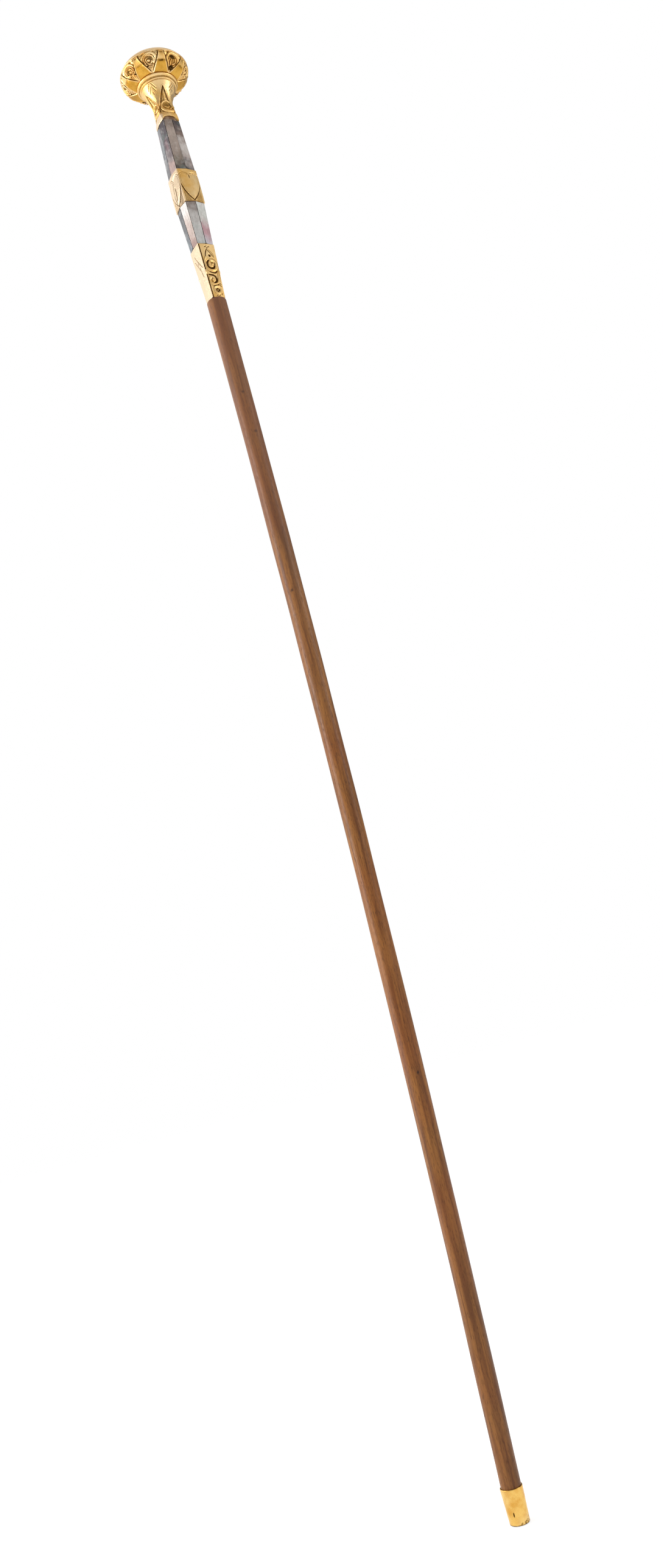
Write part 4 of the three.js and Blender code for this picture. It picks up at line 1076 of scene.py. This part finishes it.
def pearl_finish(name, tones, foot, top, drift):
    """tones are the slip's colours from its foot to its top. drift moves the noise, so no two slips match."""
    f = Finish(name, **PEARL_GLOSS)
    place = f.moved(Location=drift)
    bend = f.spread(f.noise(110, 2.0, place=place, distort=0.6), 0.2, 0.8, -0.13, 0.13)
    share = f.node("Math", f.node("MapRange", f.level(), foot, top), bend, operation="ADD")
    colour = f.node("ValToRGB", share)
    ramp = colour.node.color_ramp
    ramp.interpolation = "EASE"
    ramp.elements[0].color = tint(tones[0])
    ramp.elements[1].color = tint(tones[-1])
    for i, tone in enumerate(tones[1:-1], 1):
        ramp.elements.new(i / (len(tones) - 1)).color = tint(tone)
    along = f.moved(place, Scale=(1.0, 1.0, 0.25), Rotation=(0.35, 0.5, 0.0))
    lines = f.noise(900, 4.0, place=along, distort=1.2)
    colour = f.blend(f.spread(lines, 0.35, 0.65, 0.0, 0.22), colour, "3a302e")
    colour = f.blend(f.patches(260, 3.0, 0.5, 0.7, 0.16, place=place), colour, "f2efe9")
    colour = f.blend(f.patches(190, 2.0, 0.55, 0.72, 0.16, place=along), colour, "c98f97")
    colour = f.blend(f.patches(150, 2.0, 0.58, 0.74, 0.18, place=place), colour, "8fa79b")
    return f.done(colour, None, lines, 0.1, 0.0001)


print("Gloss of the pearl:", PEARL_GLOSS)

# %% [markdown]
# A slip is a flat strip with mitred long edges. It could be left as the frame has it, but real slips have
# their sharp edges rubbed off, and that thin highlight along each seam is what makes them look set by hand.
# The corners come from the frame, and a small bevel rounds the edges.

# %% The slips of pearl
SLIP_EDGE = 0.14
PEARL_TONES = {
    "upper_5": "4a474b 55565a 63676b 5e6063",
    "upper_6": "b59b93 75696a 50474c 3d363a",
    "upper_7": "4a3f38 8a7b6c a8968a b3a195 8d7b6e",
    "upper_8": "2b2a2d b7aaa2 cfc6bf 806a5f 3b3233",
    "lower_5": "5b646e 414346 302e32",
    "lower_6": "a88c84 c2aea4 d6cac2 efe9e5",
    "lower_7": "b9bdba cfccc8 c4bfba 8b7d75",
    "lower_8": "cfcbd0 c79aa0 d6d6cf dfe0da",
    "upper_1": "8f8a88 b6aca6 8b8079 a89d96",
    "upper_2": "cbbfb8 a79b9b 857c80 a9a2a2",
    "upper_3": "7d746f a49a97 c6bcb6 94898a",
    "upper_4": "5d5555 8e8583 b9b0aa 6e6462",
    "lower_1": "b9b4b2 cfc8c1 9c918b 7f7470",
    "lower_2": "dcd6cf bdb1ae a69ba0 938b8f",
    "lower_3": "98a0a6 b4b2b1 d9d2cb bfb3ab",
    "lower_4": "a8a09b 8a7f7b b5aba4 cdc5be",
}


def pearl_slip(label, tones):
    node = "pearl_" + label
    points = np.unique(np.round(in_handle(points_of(node)), 3), axis=0)
    middle = points.mean(0)
    outline = []
    for row in (points[points[:, 2] < middle[2]], points[points[:, 2] > middle[2]]):
        centre = row.mean(0)
        outward = np.arctan2(centre[1], centre[0])
        around = np.arctan2(row[:, 1] - centre[1], row[:, 0] - centre[0])
        outline.append(row[np.argsort((around - outward) % (2 * pi))])
    shape = bmesh.new()
    foot, top = [[shape.verts.new(p * MM) for p in from_handle(row)] for row in outline]
    shape.faces.new(foot[::-1])
    shape.faces.new(top)
    for i, this in enumerate(foot):
        after = (i + 1) % len(foot)
        shape.faces.new((this, foot[after], top[after], top[i]))
    rounding = {"offset": SLIP_EDGE * MM, "segments": 3, "profile": 0.5, "affect": "EDGES"}
    bmesh.ops.bevel(shape, geom=list(shape.edges), **rounding)
    slip = placed(node + "_polished", bpy.data.meshes.new(node + "_polished"))
    shape.to_mesh(slip.data)
    shape.free()
    slip.data.shade_smooth()
    slip.modifiers.new("flat_faces", "WEIGHTED_NORMAL").keep_sharp = True
    low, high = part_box(node)
    finish = pearl_finish(node + "_nacre", tones, low.z, high.z, tuple(rng.uniform(0, 0.5, 3)))
    return dress(slip, finish, "mother_of_pearl", node)


for label, tones in PEARL_TONES.items():
    pearl_slip(label, tones.split())

# %% [markdown]
# The shaft is one round stick with a slight bow. Its line is a curve with three control points, and all
# three can be read from the frame: the ferrule's mouth, the handle's foot, and the point between them where
# the two leaning directions meet.

# %% The line of the shaft
FERRULE_MOUTH = np.array([0.0, 0.0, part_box("ferrule_sleeve")[1].z / MM])
span = HANDLE_FOOT - FERRULE_MOUTH
ELBOW = HANDLE_FOOT - AXIS * (span @ span) / (2 * span @ AXIS)
SHAFT_FOOT_RADIUS = 5.55
SHAFT_TOP_RADIUS = 6.1
SHOULDER_ROUND = 1.1
WOOD_WOBBLE = 0.035


def shaft_line(t):
    """Points of the bowed centre line, for shares from the ferrule to the handle."""
    t = np.asarray(t)[..., None]
    return (1 - t) ** 2 * FERRULE_MOUTH + 2 * t * (1 - t) * ELBOW + t**2 * HANDLE_FOOT


bow = np.linalg.norm(ELBOW - (FERRULE_MOUTH + HANDLE_FOOT) / 2) / 2
print("Bow of the shaft in mm:", round(float(bow), 2))

# %% [markdown]
# Close up, the wood is warm and reddish, with dark pores drawn out along the grain, broad darker streaks,
# and a few pin knots. Noise that is stretched along the stick makes the pores and the streaks. The knots
# and the faint ring where a branch once stood are small dents in the mesh as well, so they also catch the
# light.

# %% The shaft
KNOTS = ((0.905, -1.95, 0.8), (0.868, -1.72, 0.9), (0.899, -2.25, 0.5), (0.72, -2.3, 0.6), (0.31, -1.8, 0.6))
RING_MARK = 0.699
FOOT_RADIUS = 4.6
TENON_RADIUS = 3.5
TENON_TOP = 12.4
SCREW_BORE = 2.35
SCREW_BORE_FOOT = -34.1


def turn_from(angle, start):
    """The angle from a direction, up to half a turn to either side."""
    return (angle - start + pi) % (2 * pi) - pi


def in_frame(points):
    """Points that already have their place in the frame."""
    return points


def shaft():
    steps, rows = 96, 420
    length = np.linalg.norm(span)
    share = np.linspace(0, 1 - SHOULDER_ROUND / length, rows)
    angle = turned(steps)
    tangent = shaft_line(share + 0.001) - shaft_line(share - 0.001)
    tangent /= np.linalg.norm(tangent, axis=1)[:, None]
    side = np.cross(np.array([0.0, 1.0, 0.0]), tangent)
    side /= np.linalg.norm(side, axis=1)[:, None]
    front = np.cross(tangent, side)
    radius = mix(SHAFT_FOOT_RADIUS, SHAFT_TOP_RADIUS, share)[:, None] + 0 * angle
    hollow = np.zeros((rows, steps))
    for k, phase in enumerate(rng.uniform(0, 2 * pi, 5), 2):
        radius = radius + WOOD_WOBBLE * np.sin(share[:, None] * 9 * k + phase + angle * (k % 3))
    for at, way, size in KNOTS:
        across = turn_from(angle, way) * SHAFT_TOP_RADIUS / (1.5 * size)
        reach = np.hypot(across, ((share - at) * length)[:, None] / size)
        radius = radius + 0.1 * np.exp(-(reach**2) / 4) - 0.16 * np.exp(-(reach**2))
        hollow = np.maximum(hollow, np.exp(-(reach**4)))
    mark = bell(((share - RING_MARK) * length)[:, None] - 0.5 * np.sin(angle * 3), 0, 0.35)
    mark = mark * (0.5 + 0.5 * np.sin(angle * 2 + 1.0))
    hollow = np.maximum(hollow, 0.55 * mark)
    out = np.cos(angle)[:, None] * side[:, None] + np.sin(angle)[:, None] * front[:, None]
    body = shaft_line(share)[:, None] + (radius - 0.06 * mark)[..., None] * out

    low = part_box("shaft")[0].z / MM
    foot = [(FOOT_RADIUS - 0.1, low), (FOOT_RADIUS, low + 0.15), (FOOT_RADIUS, FERRULE_MOUTH[2] - 3.0)]
    end = [
        (SHAFT_TOP_RADIUS - SHOULDER_ROUND * (1 - cos(t)), SHOULDER_ROUND * (sin(t) - 1) - 0.1)
        for t in np.linspace(0.2, QUARTER, 8)
    ]
    end += [(TENON_RADIUS, -0.1), (TENON_RADIUS, TENON_TOP)]
    end += [(SCREW_BORE, TENON_TOP), (SCREW_BORE, SCREW_BORE_FOOT)]
    rings = np.concatenate([round_rings(foot, steps), body, from_handle(round_rings(end, steps))])
    hollow = np.pad(hollow, ((len(foot), len(end)), (0, 0)))
    return skin("shaft_polished", rings, False, place=in_frame, hollow=hollow)


def wood_finish():
    f = Finish("polished_hardwood", Specular_IOR_Level=0.3)
    grain = f.moved(Scale=(1.0, 1.0, 0.045))
    base = f.blend(f.patches(420, 4.0, 0.32, 0.68, place=grain, distort=0.5), "6d4019", "a16a32")
    base = f.blend(f.patches(130, 3.0, 0.5, 0.72, 0.65, place=grain), base, "4c2c12")
    base = f.blend(f.patches(14, 2.0, 0.42, 0.62, 0.4), base, "8c4c20")
    pore = f.patches(2300, 3.0, 0.5, 0.68, rough=0.7, place=f.moved(Scale=(1.0, 1.0, 0.13)))
    base = f.blend(f.math("MULTIPLY", pore, 0.55), base, "33190b")
    base = f.blend(f.spread(f.mark("hollow"), 0.1, 0.9, 0.0, 0.85), base, "2f1b12")
    base = f.blend(f.spread(f.level(), 0.0, 0.35, 0.3, 0.0), base, "5a351f")
    base = f.blend(f.spread(f.level(), 0.35, 0.72, 0.0, 0.5), base, "7c5845")
    return f.done(base, f.spread(pore, 0.0, 1.0, 0.38, 0.6), f.math("SUBTRACT", 1.0, pore), 0.25, 0.0001)


dress(shaft(), wood_finish(), "shaft_wood", "shaft")

# %% [markdown]
# The ferrule keeps the foot from splitting. It is a thin tapered sleeve, slightly wider than the wood at
# its mouth, so a dark line shows between the two. A hard tip is let into its toe and a small flat sprig
# through its wall holds it on.

# %% The ferrule
FERRULE_WALL = 0.4
TOE_RADIUS = 5.4
WOOD_FOOT = 2.4
FERRULE_DENT = 0.025
SPRIG_LEVEL = 6.2
SPRIG_HALF = (0.4, 1.25)
SPRIG_TOWARDS = radians(-144)


def ferrule():
    low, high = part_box("ferrule_sleeve")
    foot, top, mouth = low.z / MM, high.z / MM, high.x / MM

    def radius(z):
        return mix(TOE_RADIUS, mouth, (z - foot) / (top - foot))

    profile = [(TOE_RADIUS - 0.35, foot), (TOE_RADIUS - 0.12, foot + 0.12), (TOE_RADIUS, foot + 0.45)]
    profile += [(radius(z), z) for z in np.linspace(foot + 0.6, top - 0.25, 60)]
    profile += [(mouth - 0.05, top - 0.06), (mouth - 0.14, top), (mouth - FERRULE_WALL, top)]
    profile += [(radius(WOOD_FOOT) - FERRULE_WALL, WOOD_FOOT), (TOE_RADIUS - 0.6, foot)]
    angle = turned(192)
    rings = round_rings(profile, len(angle))
    levels = rings[:, 0, 2][:, None]
    dents = 0
    for k, p in enumerate(rng.uniform(0, 6, 4), 1):
        dents = dents + FERRULE_DENT * np.cos(angle * k + p) * np.sin(levels * 0.4 * k + 2 * p)
    dents[-3:] = 0
    rings += polar(dents, angle, 0)
    beside = turn_from(angle, SPRIG_TOWARDS) * 5.6 / SPRIG_HALF[0]
    slot = np.hypot(beside, (levels - SPRIG_LEVEL) / SPRIG_HALF[1])
    hollow = np.exp(-(slot**4)) * 0.95 + 0.8 * bell(levels, foot, 0.5) + 0 * angle
    for turn, share, size in rng.uniform((-2.1, 0.0, 0.2), (-0.3, 1.0, 0.6), (34, 3)):
        gap = turn_from(angle, turn) * 5.7 / size
        rise = (levels - 0.6 - share * 2.3 * (turn + 2.3)) / (0.8 * size)
        hollow = np.maximum(hollow, (0.9 - 0.5 * share) * np.exp(-(gap**2) - rise**2))
    return skin("ferrule_sleeve_drawn", rings, True, place=in_frame, hollow=np.clip(hollow, 0, 1))


def ferrule_tip():
    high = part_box("ferrule_tip")[1]
    rim = high.x / MM
    profile = [(rim - 0.8, 0.0), (rim - 0.45, 0.12), (rim - 0.15, 0.35), (rim, 0.7), (rim, high.z / MM)]
    return skin("ferrule_tip_turned", round_rings(profile, 96), False, place=in_frame)


dress(ferrule(), brass, "ferrule_brass", "ferrule_sleeve")

# %% [markdown]
# The hidden fittings are plainer: a steel screw with a real thread joins shaft and grip, and the tip and
# sprig are iron. The thread is only the radius of a rod that rises and falls with the angle and the level
# together.

# %% Iron, steel and the screw
THREAD_PITCH = 1.6
THREAD_DEPTH = 0.45
THREAD_GAP_LEVEL = 6.2
POINT_LENGTH = 6


def plain_metal(name, light, dark, rough):
    f = Finish(name, Metallic=1.0)
    spots = f.patches(700, 4.0, 0.35, 0.7)
    uneven = f.spread(spots, 0.0, 1.0, rough, rough + 0.25)
    return f.done(f.blend(spots, light, dark), uneven, f.noise(1800, 3.0), 0.15, 0.0002)


iron = plain_metal("worn_iron", "6d675f", "3a2f27", 0.45)
steel = plain_metal("bright_steel", "a3a5a8", "6d6c6c", 0.28)


def screw():
    foot, top, _, _ = measure("dowel_screw")
    points = in_handle(points_of("dowel_screw"))
    thick = np.hypot(points[:, 0], points[:, 1]).max()
    angle, level = np.meshgrid(turned(32), np.linspace(foot, top, 320))
    thread = np.abs((level / THREAD_PITCH - angle / (2 * pi)) % 1 - 0.5) * 2
    pointed = np.minimum(smooth(level, foot, foot + POINT_LENGTH), 1 - smooth(level, top - POINT_LENGTH, top))
    threaded = smooth(np.abs(level - THREAD_GAP_LEVEL), 4, 5) * pointed
    radius = thick * (0.2 + 0.8 * pointed) - THREAD_DEPTH * thread * threaded
    return skin("dowel_screw_cut", polar(radius, angle, level), False)


dress(screw(), steel, "steel", "dowel_screw")
dress(ferrule_tip(), iron, "iron", "ferrule_tip")

# %% [markdown]
# The cores and the sprig already have their true shapes in the frame, so they stay as they are and only get
# a finish: dark close-grained wood under the pearl and the gilt, and iron for the sprig.

# %% Finishes for the pieces that stay
def core_finish():
    f = Finish("dark_core_wood", Roughness=0.7)
    grain = f.noise(500, 4.0, place=f.moved(Scale=(1.0, 1.0, 0.1)))
    return f.done(f.blend(f.spread(grain, 0.35, 0.65), "735540", "9a7f66"), None, grain, 0.2, 0.0002)


core_wood = core_finish()
for node, finish, slot in (
    ("grip_core", core_wood, "core_wood"),
    ("knob_core", core_wood, "core_wood"),
    ("ferrule_sprig", iron, "iron"),
):
    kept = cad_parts[node]
    kept.data.materials.clear()
    kept.data.materials.append(finish)
    print("kept from the frame:", node)
